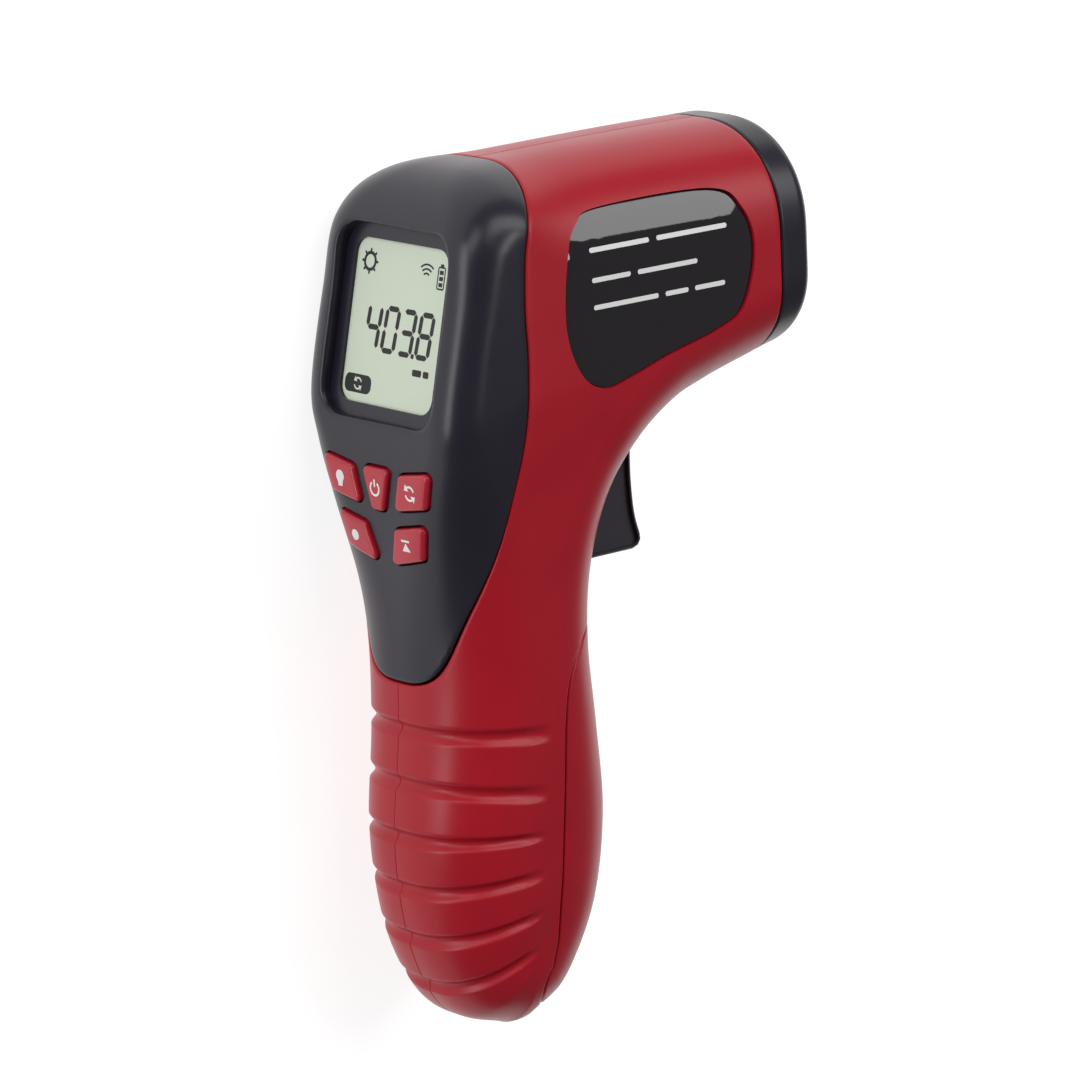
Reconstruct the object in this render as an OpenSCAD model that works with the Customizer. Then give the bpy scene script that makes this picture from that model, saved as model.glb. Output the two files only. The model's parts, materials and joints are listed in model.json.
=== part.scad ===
// Hand-held laser tachometer: a pistol-shaped instrument with a display and five keys at the
// back, a lens and a laser at the nose, a trigger, and a battery behind a door in the grip.
// Sizes are in millimetres. It lies on its left flank: X runs forward along the sight line,
// Y runs up from the grip to the barrel, and Z runs from the left flank to the right one.

/* [Body] */
// Rear outline from the grip's tip up the back and along the barrel's top, as X, Y points
rear_line = [
  [15.5, -139.5],
  [6.5, -136],
  [0.8, -128],
  [-2.8, -116],
  [-4, -100],
  [-2, -82],
  [-1.2, -66],
  [-1.6, -54],
  [-3.2, -40],
  [-3.6, -28],
  [-3.4, -18],
  [0.5, 0],
  [3.6, 14],
  [12.5, 22],
  [30, 23],
  [58, 23.4]
]; // [-145:0.1:90]
// Front outline from the grip's tip up past the trigger and along the barrel's underside
front_line = [
  [18.2, -139.5],
  [27, -134.5],
  [33.2, -125],
  [37.2, -113.5],
  [38.8, -99],
  [37.4, -83],
  [35.8, -67],
  [36.8, -54],
  [40.4, -42],
  [46.8, -33.5],
  [55, -27.8],
  [63, -25],
  [69, -23.4],
  [74, -22.2],
  [78, -21.2],
  [82, -20.4]
]; // [-145:0.1:90]
// Half width of the barrel
barrel_half = 23.3; // [21:0.1:26]
// Half width of the grip at its middle
grip_half = 19.4; // [18:0.1:22]
// Half width at the grip's tip
tip_half = 15; // [12:0.1:18]
// Half width of the flat strip that carries the display
face_flat = 16.3; // [14:0.1:18]
// Half width of the flat strip left along every other outline
ridge_flat = 1.5; // [0.5:0.1:3]
// Depth of the rounding at the barrel's top
barrel_round = 20; // [14:0.5:22]
// Depth of the rounding beside the display
face_round = 7; // [5:0.5:9]
// Depth of the rounding along the front and underside
front_round = 16; // [12:0.5:18]
// Exponent of the rounding, 2 for an ellipse
squareness = 2.19; // [2:0.01:3]
// Wall of every moulded shell
wall = 2.2; // [1.6:0.1:3]
// X of the nose's front face
nose_x = 83; // [80:0.5:86]
// Length of the black nose
nose_len = 7.9; // [5:0.1:13]
// Y of the barrel's top at the nose
nose_high = 23.4; // [20:0.1:26]
// Y of the barrel's underside at the nose
nose_low = -19.8; // [-24:0.1:-17]
// How far both outlines run on past the nose's front face
nose_over = 3; // [1:0.5:10]
// Radius of the nose's front edge
nose_round = 3; // [1:0.5:5]

/* [Parting lines] */
// Joint between the rear bezel and the red halves, seen from the side
bezel_line = [
  [25, 26],
  [20.5, 21.3],
  [15.1, 12.2],
  [13.7, 0],
  [13.9, -12],
  [12.6, -25.3],
  [8.3, -41.6],
  [3.5, -56.9],
  [0, -69],
  [-5, -74]
]; // [-80:0.1:30]
// Joint between the battery door and the red halves, from its top down to the hinge
door_line = [
  [40, -62],
  [30, -64.3],
  [24.6, -69.6],
  [22.3, -77],
  [21.4, -92],
  [20.8, -110],
  [20.4, -122]
]; // [-140:0.1:45]
// Hinge axis of the door
door_hinge = [24, -131]; // [-140:0.1:30]
// Radius of the door's lower end about its hinge
door_end = 5.9; // [5.5:0.1:6.5]
// Gap round the door
door_gap = 0.3; // [0.2:0.05:0.5]
// Radius of the door's hinge pin
door_pin_r = 1; // [0.8:0.1:1.5]
// Inner and outer side of the lugs that carry the door's pin
lug_z = [1, 5.5]; // [0.5:0.1:6]
// Inner and outer side of the door's ears on the pin
ear_z = [6, 8.5]; // [5.5:0.1:10]
// Room round a lug inside the door
lug_gap = 0.35; // [0.3:0.05:0.5]

/* [Grip grooves] */
// Height of the first groove at the back seam
groove_top = -79.5; // [-85:0.5:-75]
// Distance between grooves
groove_pitch = 10; // [8:0.5:12]
// Number of grooves
groove_count = 6; // [3:1:6]
// Width of a groove
groove_w = 4; // [2:0.2:6]
// Depth of a groove
groove_d = 1; // [0.4:0.1:1.4]

/* [Display] */
// Lean of the display's face from upright, in degrees
face_tilt = 12.4; // [5:0.1:20]
// Distance of the visible display's side from the flank
view_side = 9.8; // [9:0.1:12]
// Visible height of the display above its centre
view_up = 10.3; // [8:0.1:13]
// Visible height of the display below its centre
view_down = 19.6; // [16:0.1:22]
// Border between the visible display and the recess wall
view_border = 2.6; // [2:0.1:3]
// Depth of the recess
recess_d = 2.3; // [1.5:0.1:3]
// Thickness of the recess floor
recess_floor = 0.6; // [0.4:0.1:2]
// Thickness of the clear window
window_t = 1; // [0.8:0.1:1.5]
// Thickness of the display panel
panel_t = 2; // [1.5:0.1:3]
// Thickness of the backlight
backlight_t = 2.5; // [2:0.1:4]
// Margin of the display panel round the visible part
panel_margin = 2.2; // [1.5:0.1:2.5]
// Thickness of every circuit board
board_t = 1.6; // [1:0.1:2]
// Distance of the display board's side from the flank
board_side = 4.7; // [4.5:0.1:6]
// Height of the strips that join the display to its board
strip_h = 2.5; // [2:0.1:3]

/* [Keys] */
// Foot of the keypad's plane
key_foot = [-2.2, -54]; // [-60:0.1:5]
// Lean of the keypad's plane from upright, in degrees
key_tilt = -3.4; // [-8:0.1:4]
// Corners of the right upper key in the keypad's plane; the left one mirrors it
upper_key = [[6.75, 23.3], [15.6, 24.7], [13.75, 17.8], [4.9, 16.3]]; // [0:0.05:30]
// Corners of the right lower key; the left one mirrors it
lower_key = [[4.3, 12.9], [12.7, 14.5], [10.9, 7.7], [2, 5.6]]; // [0:0.05:30]
// Corners of the middle key
middle_key = [[-3.85, 23.8], [3.85, 23.8], [1.6, 15.8], [-1.6, 15.8]]; // [-5:0.05:30]
// Corner radius of a key
key_round = 1; // [0.5:0.1:1.4]
// How far a key stands out of the bezel
key_proud = 0.9; // [0.4:0.1:1.5]
// Travel of a key
key_travel = 0.6; // [0.3:0.1:0.9]
// Gap round a key
key_gap = 0.3; // [0.2:0.05:0.4]
// Width of a key's retaining flange
flange_w = 0.9; // [0.6:0.1:1]
// Thickness of the flange
flange_t = 1; // [0.8:0.1:1.5]
// Depth of the flat pad behind the keys
pad_d = 4.2; // [3.5:0.1:5]
// Side of a key switch's body
switch_w = 6; // [5:0.5:6]
// Height of a key switch's body
switch_h = 3.5; // [2.5:0.1:4]
// Height of a key switch's plunger
plunger_h = 0.5; // [0.3:0.1:1]
// Half width of the key board
key_board_half = 15; // [14:0.5:17]

/* [Trigger] */
// Pivot of the trigger
trigger_pivot = [46.5, -26.5]; // [-40:0.1:50]
// Half width of the trigger
trigger_half = 7.5; // [5:0.1:9]
// Front edge of the trigger from its top to its toe
trigger_front = [
  [51.2, -27],
  [50.4, -32],
  [50.1, -38.5],
  [50.3, -44],
  [50.8, -48],
  [51.8, -51.5]
]; // [-60:0.1:60]
// Rear edge of the trigger inside the grip, from its foot to its top
trigger_rear = [[33.4, -54.3], [33.6, -48], [36.6, -40], [42.6, -29]]; // [-60:0.1:60]
// Tip of the trigger's toe before it is rounded
trigger_toe = [50.6, -54.3]; // [-60:0.1:60]
// Radius of the trigger's toe
toe_round = 2; // [1:0.1:3]
// Radius of the trigger's pivot pin
trigger_pin_r = 1; // [0.8:0.1:1.5]
// Radius of the boss round the trigger's pin
trigger_boss_r = 3; // [2.5:0.1:4]
// X of the trigger switch's back
switch_x = 23; // [22:0.1:24]
// Y of the trigger switch's lower end
switch_low = -52.5; // [-54:0.1:-51]
// Depth of the trigger switch
switch_depth = 6; // [5:0.1:6.5]
// Length of the trigger switch
switch_len = 12.5; // [11:0.1:13]
// Half width of the trigger switch
switch_half = 2.9; // [2.5:0.1:3.2]
// Y of the trigger spring's axis
spring_y = -50.5; // [-51:0.1:-50]
// Mean radius of the trigger spring
spring_r = 1.75; // [1.5:0.05:2]
// Radius of the spring's wire
spring_wire = 0.25; // [0.2:0.05:0.3]
// Turns of the spring
spring_turns = 4; // [3:1:6]
// Gap at each side of the trigger
trigger_gap = 0.3; // [0.2:0.05:0.5]
// Running clearance of a pin in its bore
pin_clear = 0.05; // [0.01:0.01:0.1]

/* [Optics] */
// Height of the lens axis above the sight line
lens_y = 4; // [2:0.5:6]
// Radius of the receiver lens
lens_r = 10; // [8:0.5:11]
// Thickness of the lens at its edge
lens_edge = 2; // [1.5:0.1:3]
// Bulge of the lens
lens_bulge = 1.5; // [1:0.1:2]
// Wall of the lens tube
tube_wall = 1.5; // [1:0.1:2]
// Length of the lens tube
tube_len = 38; // [30:1:42]
// Thickness of the nose's front plate
nose_plate = 2.5; // [2:0.1:3.5]
// Radius of the laser module
laser_r = 3.25; // [3:0.05:3.5]
// Length of the laser module
laser_len = 16; // [12:1:20]
// Height of the laser's axis
laser_y = -13.2; // [-14:0.1:-12]
// Radius of the laser's aperture
aperture_r = 1.6; // [1:0.1:2.5]

/* [Battery] */
// Length of the battery body
battery_l = 46.4; // [45:0.1:48]
// Width of the battery
battery_w = 26.2; // [25.5:0.1:26.5]
// Thickness of the battery
battery_t = 17; // [16.5:0.1:17.5]
// X of the battery's back face
battery_x = 10; // [9:0.1:11]
// Y of the battery's lower end
battery_y = -118; // [-119:0.5:-117]
// Height of the battery's terminals
terminal_h = 2.6; // [2:0.1:3]
// Thickness of the snap connector's plate
snap_t = 2; // [1.5:0.1:3]
// Distance of the battery's terminals from the centre plane
stud_z = 6.35; // [6:0.05:6.7]
// Radius of a battery lead
lead_r = 0.7; // [0.5:0.1:1]
// Solder between a lead and its board
solder_gap = 0.1; // [0.05:0.05:0.3]

/* [Fastenings] */
// Screw positions on the flanks
screw_at = [[29, 14], [57, -19.5], [23, -34], [6.2, -61], [8, -125]]; // [-130:0.1:80]
// Depth of a screw head's seat from the centre plane
screw_seat = 10; // [8:0.5:12]
// Radius of a board screw's shank
board_screw_r = 0.9; // [0.7:0.1:1.2]
// Radius of a board screw's post
post_r = 1.7; // [1.4:0.1:2]
// Thickness of the ribs inside the halves
rib_t = 2; // [1.2:0.1:3]
// Radius of a screw's shank
screw_r = 1.3; // [1:0.1:1.6]
// Radius of a screw's head
screw_head_r = 2.6; // [2:0.1:3]
// Height of a screw's head
screw_head_h = 1.8; // [1.2:0.1:2.4]
// Wall round a screw
boss_wall = 1.5; // [1:0.1:2]
// Depth of a screw's tip beyond the centre plane
screw_bite = 8; // [5:0.5:10]

/* [Label] */
// Outline of the side label, clockwise from its rear upper corner
label_line = [
  [24, 7],
  [27.5, 12.2],
  [34, 14.2],
  [60, 14],
  [66.5, 9.5],
  [68.5, 1],
  [65.4, -8.6],
  [59, -12],
  [47, -14.8],
  [38, -17.4],
  [31.5, -18.5],
  [26, -15],
  [22.9, -6]
]; // [-20:0.1:70]
// Depth to which the flank round the label is faced flat
flank_trim = 0.05; // [0.02:0.01:0.2]
// Depth of the label's recess
label_d = 1; // [0.5:0.1:1.4]
// Thickness of the label
label_t = 0.4; // [0.2:0.1:0.8]
// Thickness of the label's glue
glue_t = 0.05; // [0.02:0.01:0.1]

/* [Hidden] */
$fn = 48;
red = [0.62, 0.09, 0.15];
black = [0.16, 0.15, 0.19];
key_red = [0.72, 0.16, 0.22];
gloss = [0.06, 0.05, 0.06];
steel = [0.6, 0.6, 0.62];
brass = [0.72, 0.56, 0.25];
board_green = [0.05, 0.3, 0.14];
far = 200;
// Both outlines with their ends past the nose
rear_run = concat(rear_line, [[nose_x + nose_over, nose_high]]);
front_run = concat(front_line, [[nose_x + nose_over, nose_low]]);
last = len(rear_run) - 1;
nose_joint = nose_x - nose_len;
// Share of each station's width and rounding between grip and barrel
half_line = [
  tip_half, tip_half + 1, tip_half + 2, grip_half - 1.2, grip_half - 0.4, grip_half + 0.3,
  grip_half + 0.8, grip_half + 1.2, barrel_half - 1.8, barrel_half - 0.5,
  for (k = [10:last]) barrel_half
];
flat_line = [
  for (k = [0:6]) ridge_flat,
  ridge_flat + 2, face_flat * 0.52, face_flat * 0.85, face_flat, face_flat, face_flat * 0.82,
  face_flat * 0.33, ridge_flat + 0.8, ridge_flat + 0.8, ridge_flat + 0.8
];
rear_round = [
  12, 13, 16, 19, 20, 20, 19, 17, face_round + 6, face_round + 2, face_round, face_round,
  face_round + 2, barrel_round - 8, barrel_round, barrel_round, barrel_round
];
under_round = [
  12, 13, 15, 18, 19, 18, 17, 17, front_round, front_round, front_round,
  for (k = [11:last]) front_round
];

// A smooth curve through the rows of a list, at a row number with a fraction
function blend4(a, b, c, d, f) =
  0.5 * (2 * b + (c - a) * f + (2 * a - 5 * b + 4 * c - d) * f * f
    + (3 * b - a - 3 * c + d) * f * f * f);
function along(list, u) =
  let (n = len(list) - 1, i = min(floor(u), n - 1))
  blend4(
    i > 0 ? list[i - 1] : 2 * list[0] - list[1],
    list[i],
    list[i + 1],
    i < n - 1 ? list[i + 2] : 2 * list[n] - list[n - 1],
    u - i
  );
function unit(v) = v / norm(v);
function inward(list, u, side) =
  let (n = len(list) - 1)
  let (t = unit(along(list, min(u + 0.01, n)) - along(list, max(u - 0.01, 0))))
  let (up = max(1 - u, 0))
  unit(up * [0, 1] + (1 - up) * side * [t[1], -t[0]]);
function curve(list, steps) =
  [for (k = [0:(len(list) - 1) * steps]) along(list, k / steps)];
// The same, closed into a loop
function loop(list, steps) =
  let (n = len(list))
  [
    for (i = [0:n - 1]) for (k = [0:steps - 1])
      blend4(list[(i + n - 1) % n], list[i], list[(i + 1) % n], list[(i + 2) % n], k / steps)
  ];
function sorted(list) =
  len(list) < 2 ? list
  : let (p = list[floor(len(list) / 2)])
    concat(
      sorted([for (v = list) if (v < p) v]),
      [p],
      sorted([for (v = list) if (v > p) v])
    );
// Row number at which the rear outline passes a height on the grip
function row_at(y, lo = 0, hi = 9, n = 24) =
  n == 0 ? (lo + hi) / 2
  : let (mid = (lo + hi) / 2)
    along(rear_run, mid)[1] < y ? row_at(y, mid, hi, n - 1) : row_at(y, lo, mid, n - 1);
function groove_y(i) = groove_top - groove_pitch * i;
// Depth of the grooves at a row of the rear outline
function groove_depth(u) =
  let (y = along(rear_run, u)[1])
  let (d = min([for (i = [0:groove_count - 1]) abs(y - groove_y(i))]))
  d >= groove_w / 2 || u > 9 ? 0 : groove_d * (1 + cos(360 * d / groove_w)) / 2;
// Half a cross-section, from the rear outline round the right flank to the front outline
function section(u, inset, steps, deep) =
  let (
    r = along(rear_run, u),
    f = along(front_run, u),
    nr = inward(rear_run, u, 1),
    nf = inward(front_run, u, -1),
    w = min(along(half_line, u), barrel_half) - inset,
    flat = min(along(flat_line, u), w - 3),
    a = w - flat,
    af = w - ridge_flat - 1,
    br = max(along(rear_round, u) - inset, 1),
    bf = max(along(under_round, u) - inset, 1),
    cut = inset == 0 ? groove_depth(u) : 0,
    q = 2 / squareness
  )
  concat(
    [[each r + (inset + cut) * nr, -deep]],
    [
      for (k = [0:steps])
        let (t = 90 * k / steps, g = cut * (k < steps ? 1 : 0))
        [
          each r + (inset + g * cos(t) + br * (1 - pow(cos(t), q))) * nr,
          flat + a * pow(sin(t), q) - g * sin(t)
        ]
    ],
    [
      for (k = [steps:-1:0])
        let (t = 90 * k / steps)
        [each f + (inset + bf * (1 - pow(cos(t), q))) * nf, w - af + af * pow(sin(t), q)]
    ],
    [[each f + inset * nf, -deep]]
  );
// The right half of the body as a solid, moved in from the outside by an inset
module half_body(rows, inset, steps, deep = 0) {
  n = 2 * steps + 4;
  m = len(rows);
  points = [for (u = rows) each section(u, inset, steps, deep)];
  faces = [
    for (i = [0:m - 2]) for (j = [0:n - 1])
      let (a = i * n + j, b = i * n + (j + 1) % n)
      each [[a, b + n, b], [a, a + n, b + n]],
    for (j = [0:n / 2 - 2]) each [[j, j + 1, n - 2 - j], [j, n - 2 - j, n - 1 - j]],
    for (j = [0:n / 2 - 2])
      let (o = (m - 1) * n)
      each [[o + j, o + n - 2 - j, o + j + 1], [o + j, o + n - 1 - j, o + n - 2 - j]]
  ];
  polyhedron(points, faces, convexity = 10);
}
fine_rows = sorted([
  for (k = [0:0.5:last]) if (groove_depth(k) == 0) k,
  for (i = [0:groove_count - 1]) for (k = [-2, -0.8, 0.8, 2]) row_at(groove_y(i) + k * groove_w / 4)
]);
plain_rows = [for (k = [0:last]) k];

module outer_half() {
  half_body(fine_rows, 0, 5);
}
module inner_half() {
  half_body(plain_rows, wall, 4, 1);
}
// What lies inside the wall, a little way into it, for ribs and bosses to end in
module rib_space() {
  half_body(plain_rows, wall - 1.2, 4);
}
module both_halves() {
  children();
  mirror([0, 0, 1])
    children();
}
// Side views of the regions that the parting lines mark off
module bezel_region() {
  polygon(concat(curve(bezel_line, 4), [[-far, -74], [-far, 26]]));
}
module door_region(gap) {
  arc = [
    for (t = [140:14:280])
      door_hinge + (door_end + gap) * [cos(t), sin(t)]
  ];
  polygon(
    concat(
      [for (p = curve(door_line, 3)) p + [-gap, gap]],
      arc,
      [[arc[len(arc) - 1][0], -far], [far, -far], [far, door_line[0][1] + gap]]
    )
  );
}
module nose_region(x0) {
  translate([x0, -far])
    square([far, 2 * far]);
}
module upright(h) {
  translate([0, 0, -h / 2])
    linear_extrude(h, convexity = 6)
      children();
}
// Local frames: X to the right flank, Y up the face, Z out of it towards the user
function on_tilt(o, t) =
  [[0, sin(t), -cos(t), o[0]], [0, cos(t), sin(t), o[1]], [1, 0, 0, 0], [0, 0, 0, 1]];
face_at = on_tilt(rear_run[11], face_tilt);
key_at = on_tilt(key_foot, key_tilt);
// Side-view point at a height up a local frame and a depth behind it
function place(m, up, out) =
  [m[0][3] + up * m[0][1] + out * m[0][2], m[1][3] + up * m[1][1] + out * m[1][2]];
module layer(front, t) {
  translate([0, 0, front - t])
    linear_extrude(t, convexity = 6)
      children();
}
module tall_rect(half, low, high) {
  translate([-half, low])
    square([2 * half, high - low]);
}
module rounded(r) {
  offset(r = r, $fn = 16)
    offset(delta = -r)
      children();
}

// Display stack, front to back behind the recess floor
view_w = 2 * (barrel_half - view_side);
board_half = barrel_half - board_side;
panel_half = view_w / 2 + panel_margin;
panel_low = -view_down - panel_margin;
panel_high = view_up + panel_margin;
window_front = -recess_d - recess_floor;
panel_front = window_front - window_t;
light_front = panel_front - panel_t;
board_front = light_front - backlight_t;
board_back = board_front - board_t;
post_x = board_half - 1;
face_posts = [for (x = [-post_x, post_x]) for (y = [panel_low + 2, panel_high - 2]) [x, y]];
// Keys, front to back
upper_mid = (upper_key[0] + upper_key[1] + upper_key[2] + upper_key[3]) / 4;
lower_mid = (lower_key[0] + lower_key[1] + lower_key[2] + lower_key[3]) / 4;
middle_mid = (middle_key[0] + middle_key[1] + middle_key[2] + middle_key[3]) / 4;
function mirrored(list) = [for (p = list) [-p[0], p[1]]];
key_list = [mirrored(upper_key), middle_key, upper_key, mirrored(lower_key), lower_key];
key_mids = [
  [-upper_mid[0], upper_mid[1]], middle_mid, upper_mid,
  [-lower_mid[0], lower_mid[1]], lower_mid
];
key_back = -pad_d - flange_t;
plunger_front = key_back - key_travel - 0.1;
key_board_front = plunger_front - plunger_h - switch_h;
key_board_back = key_board_front - board_t;
key_board_low = lower_key[3][1] - 3;
key_board_high = upper_key[1][1] + 1.2;
key_posts = [
  [-key_board_half + 2, lower_key[3][1] - 0.8],
  [key_board_half - 2, lower_key[3][1] - 0.8],
  [0, (lower_key[0][1] + lower_key[1][1]) / 2 - 2]
];
// Optics, back from the nose's front plate
plate_back = nose_x - nose_plate;
tube_r = lens_r + tube_wall;
tube_back = plate_back - tube_len;
lens_front = plate_back;
ring_front = lens_front - lens_edge - 0.3;
laser_back = plate_back - laser_len;
rib_xs = [tube_back + 7, laser_back + 3];
// Battery and what sits on it
battery_top = battery_y + battery_l;
snap_y = battery_top + terminal_h;
lead_x = battery_x + 2.5;
lead_out = key_board_back - lead_r - solder_gap;
// Trigger switch and spring
switch_front = switch_x + switch_depth;
// Lug that carries the door's pin
lug_r = door_pin_r + 1.4;
pin_end = ear_z[1];

module side_bore(p, r, z0, z1) {
  translate([p[0], p[1], z0])
    cylinder(r = r, h = z1 - z0);
}
module at_screws() {
  for (p = screw_at)
    translate(p)
      children();
}
// Trigger seen from the side, its body only
module trigger_side() {
  rounded(toe_round)
    polygon(concat(curve(trigger_front, 3), [trigger_toe], trigger_rear));
}
// The slot that the trigger swings in
module trigger_slot() {
  translate([0, 0, -trigger_half - trigger_gap])
    linear_extrude(2 * (trigger_half + trigger_gap))
      polygon([
        trigger_front[0] + [0.6, 0], trigger_front[0] + [far, 0],
        trigger_toe + [far, -1], trigger_rear[0] + [-5.4, -1], trigger_pivot + [-6.5, -0.5]
      ]);
}
module label_side() {
  polygon(loop(label_line, 3));
}
// What lies behind the label's seat: the barrel's upper corner, then straight down the flank
module label_seat(inset) {
  corner = [for (p = section(last, inset, 6, 0)) [p[2], p[1]]];
  multmatrix([[0, 0, 1, 0], [0, 1, 0, 0], [1, 0, 0, 0], [0, 0, 0, 1]])
    linear_extrude(far)
      polygon([for (k = [0:7]) corner[k], [corner[7][0], -far], [0, -far]]);
}
// A red half without its bores, as moulded; the children are this half's own features
module half_shell() {
  difference() {
    union() {
      difference() {
        outer_half();
        inner_half();
      }
      intersection() {
        rib_space();
        union() {
          for (x = rib_xs)
            translate([x, -far, 0])
              cube([rib_t, 2 * far, far]);
          for (y = [battery_y + 6, battery_top - 8])
            translate([-far, y, 0])
              cube([far + battery_x, rib_t, far]);
          translate([-far, battery_y - rib_t, 0])
            cube([far + battery_x + 8, rib_t, far]);
          translate([trigger_pivot[0], trigger_pivot[1], trigger_half + trigger_gap])
            cylinder(r = trigger_boss_r, h = far, $fn = 16);
          children();
        }
      }
    }
    upright(far)
      bezel_region();
    upright(far)
      door_region(door_gap);
    upright(far)
      nose_region(nose_joint);
    trigger_slot();
  }
  hinge_lug();
}
module hinge_lug() {
  h = door_hinge;
  translate([0, 0, lug_z[0]])
    linear_extrude(lug_z[1] - lug_z[0])
      union() {
        translate(h)
          circle(lug_r, $fn = 16);
        polygon([
          for (p = [
            [1.2, 2], [-2.5, 5.4], [-7.6, 5.4], [-11, 2], [-11, -6], [-8.6, -6],
            [-7.2, -1], [-6.5, 1.2], [-5.8, 2.9], [-1.9, 1.5]
          ])
            h + p
        ]);
      }
}
// Here and below, a resize that changes nothing joins the faceted body before the exact cuts
module right_housing() {
  color(red)
    difference() {
      difference() {
        resize([0, 0, 0])
          half_shell() {
            at_screws()
              cylinder(r = screw_r + boss_wall, h = far, $fn = 16);
            translate([switch_x, switch_low, switch_half])
              cube([switch_depth, switch_len, far]);
          }
        translate([-far, -far, barrel_half - flank_trim])
          cube(2 * far);
      }
      difference() {
        upright(far)
          label_side();
        label_seat(label_d);
        translate([-far, -far, -far])
          cube([2 * far, 2 * far, far + 5]);
      }
      at_screws()
        translate([0, 0, -1])
          cylinder(r = screw_r, h = screw_bite + 2);
      side_bore(trigger_pivot, trigger_pin_r, 0, 16);
      side_bore(door_hinge, door_pin_r + pin_clear, 0, 10);
      barrel_bores();
    }
}
module left_housing() {
  color(red)
    difference() {
      resize([0, 0, 0])
        mirror([0, 0, 1])
          half_shell()
            at_screws()
              cylinder(r = screw_head_r + 0.2 + boss_wall, h = far, $fn = 16);
      at_screws() {
        translate([0, 0, -screw_seat - 1])
          cylinder(r = screw_r + 0.2, h = screw_seat + 2);
        translate([0, 0, -screw_seat - 30])
          cylinder(r = screw_head_r + 0.2, h = 30);
      }
      side_bore(trigger_pivot, trigger_pin_r, -16, 0);
      side_bore(door_hinge, door_pin_r + pin_clear, -10, 0);
      barrel_bores();
    }
}
// Seats in the ribs for the lens tube and the laser
module barrel_bores() {
  translate([0, lens_y, 0])
    rotate([0, 90, 0])
      cylinder(r = tube_r, h = nose_joint);
  translate([laser_back - 2, laser_y, 0])
    rotate([0, 90, 0])
      cylinder(r = laser_r, h = laser_len);
}
module rear_bezel() {
  color(black)
    difference() {
      resize([0, 0, 0])
        bezel_body();
      multmatrix(face_at)
        for (p = face_posts)
          translate([p[0], p[1], board_front - 1])
            cylinder(r = board_screw_r, h = 4);
      multmatrix(key_at)
        for (p = key_posts)
          translate([p[0], p[1], key_board_front - 1])
            cylinder(r = board_screw_r, h = 4);
    }
}
module bezel_body() {
  difference() {
    both_halves()
      intersection() {
        upright(far)
          bezel_region();
        union() {
          difference() {
            outer_half();
            inner_half();
          }
          intersection() {
            rib_space();
            union() {
              bezel_slabs();
            }
          }
        }
      }
    multmatrix(face_at) {
      layer(far / 4, far / 4 + recess_d)
        rounded(5)
          tall_rect(view_w / 2 + view_border, -view_down - view_border, view_up + view_border);
      layer(0, 6)
        rounded(3)
          tall_rect(view_w / 2, -view_down, view_up);
    }
    multmatrix(key_at)
      for (k = key_list)
        layer(6, 12)
          offset(delta = key_gap)
            rounded(key_round)
              polygon(k);
  }
}
// Floor of the display's recess, pad behind the keys, and posts for the boards
module bezel_slabs() {
  multmatrix(face_at) {
    layer(0, -window_front)
      tall_rect(view_w / 2 + view_border + wall, panel_low - 2.6, panel_high + 2.6);
    for (p = face_posts)
      layer(-1, -board_front - 1)
        translate(p)
          circle(post_r, $fn = 24);
  }
  multmatrix(key_at) {
    layer(0, pad_d)
      tall_rect(upper_key[1][0] + 2.4, key_board_low, upper_key[1][1] + 3);
    for (p = key_posts)
      layer(-1, -key_board_front - 1)
        translate(p)
          circle(post_r, $fn = 24);
  }
}
module nose_cap() {
  color(black)
    difference() {
      nose_body();
      translate([0, lens_y, 0])
        rotate([0, 90, 0])
          cylinder(r = lens_r - 1, h = far);
      translate([0, laser_y, 0])
        rotate([0, 90, 0])
          cylinder(r = aperture_r, h = far);
    }
}
module nose_body() {
  both_halves()
    intersection() {
      translate([nose_joint, -far, 0])
        cube([nose_x - nose_joint, 2 * far, far]);
      nose_edge();
      union() {
        difference() {
          outer_half();
          inner_half();
        }
        intersection() {
          rib_space();
          translate([plate_back, -far, 0])
            cube([nose_plate, 2 * far, far]);
        }
      }
    }
}
// Rounds the nose's front edge: the section shrinks in steps towards the front face
module nose_edge() {
  hull()
    for (k = [0:4]) {
      t = 90 * k / 4;
      slice(nose_x - nose_round * (1 - sin(t)) - 0.01, nose_round * (1 - cos(t)) - 0.06);
      slice(nose_joint - 1, -nose_round);
    }
}
module slice(x, inset) {
  full = section(last, inset, 6, 0);
  multmatrix([[0, 0, 1, x], [0, 1, 0, 0], [1, 0, 0, 0], [0, 0, 0, 1]])
    linear_extrude(0.01)
      polygon([for (p = full) [p[2], p[1]]]);
}
module side_label() {
  color(gloss)
    intersection() {
      upright(far)
        offset(delta = -0.15)
          label_side();
      difference() {
        label_seat(label_d - glue_t - label_t);
        label_seat(label_d - glue_t);
      }
      translate([0, -far, 2])
        cube([far, 2 * far, far]);
    }
}
module lcd_window() {
  color([0.75, 0.8, 0.8, 0.4])
    multmatrix(face_at)
      layer(window_front, window_t)
        tall_rect(panel_half, panel_low, panel_high);
}
module lcd_panel() {
  color([0.7, 0.74, 0.67])
    multmatrix(face_at)
      layer(panel_front, panel_t)
        tall_rect(panel_half, panel_low, panel_high);
}
module backlight() {
  color([0.92, 0.92, 0.88])
    multmatrix(face_at)
      layer(light_front, backlight_t)
        tall_rect(panel_half, panel_low + strip_h + 0.5, panel_high - strip_h - 0.5);
}
module contact_strips() {
  color([0.85, 0.5, 0.45])
    multmatrix(face_at)
      for (y = [panel_low, panel_high - strip_h])
        layer(light_front, backlight_t)
          tall_rect(panel_half - 1, y, y + strip_h);
}
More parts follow.
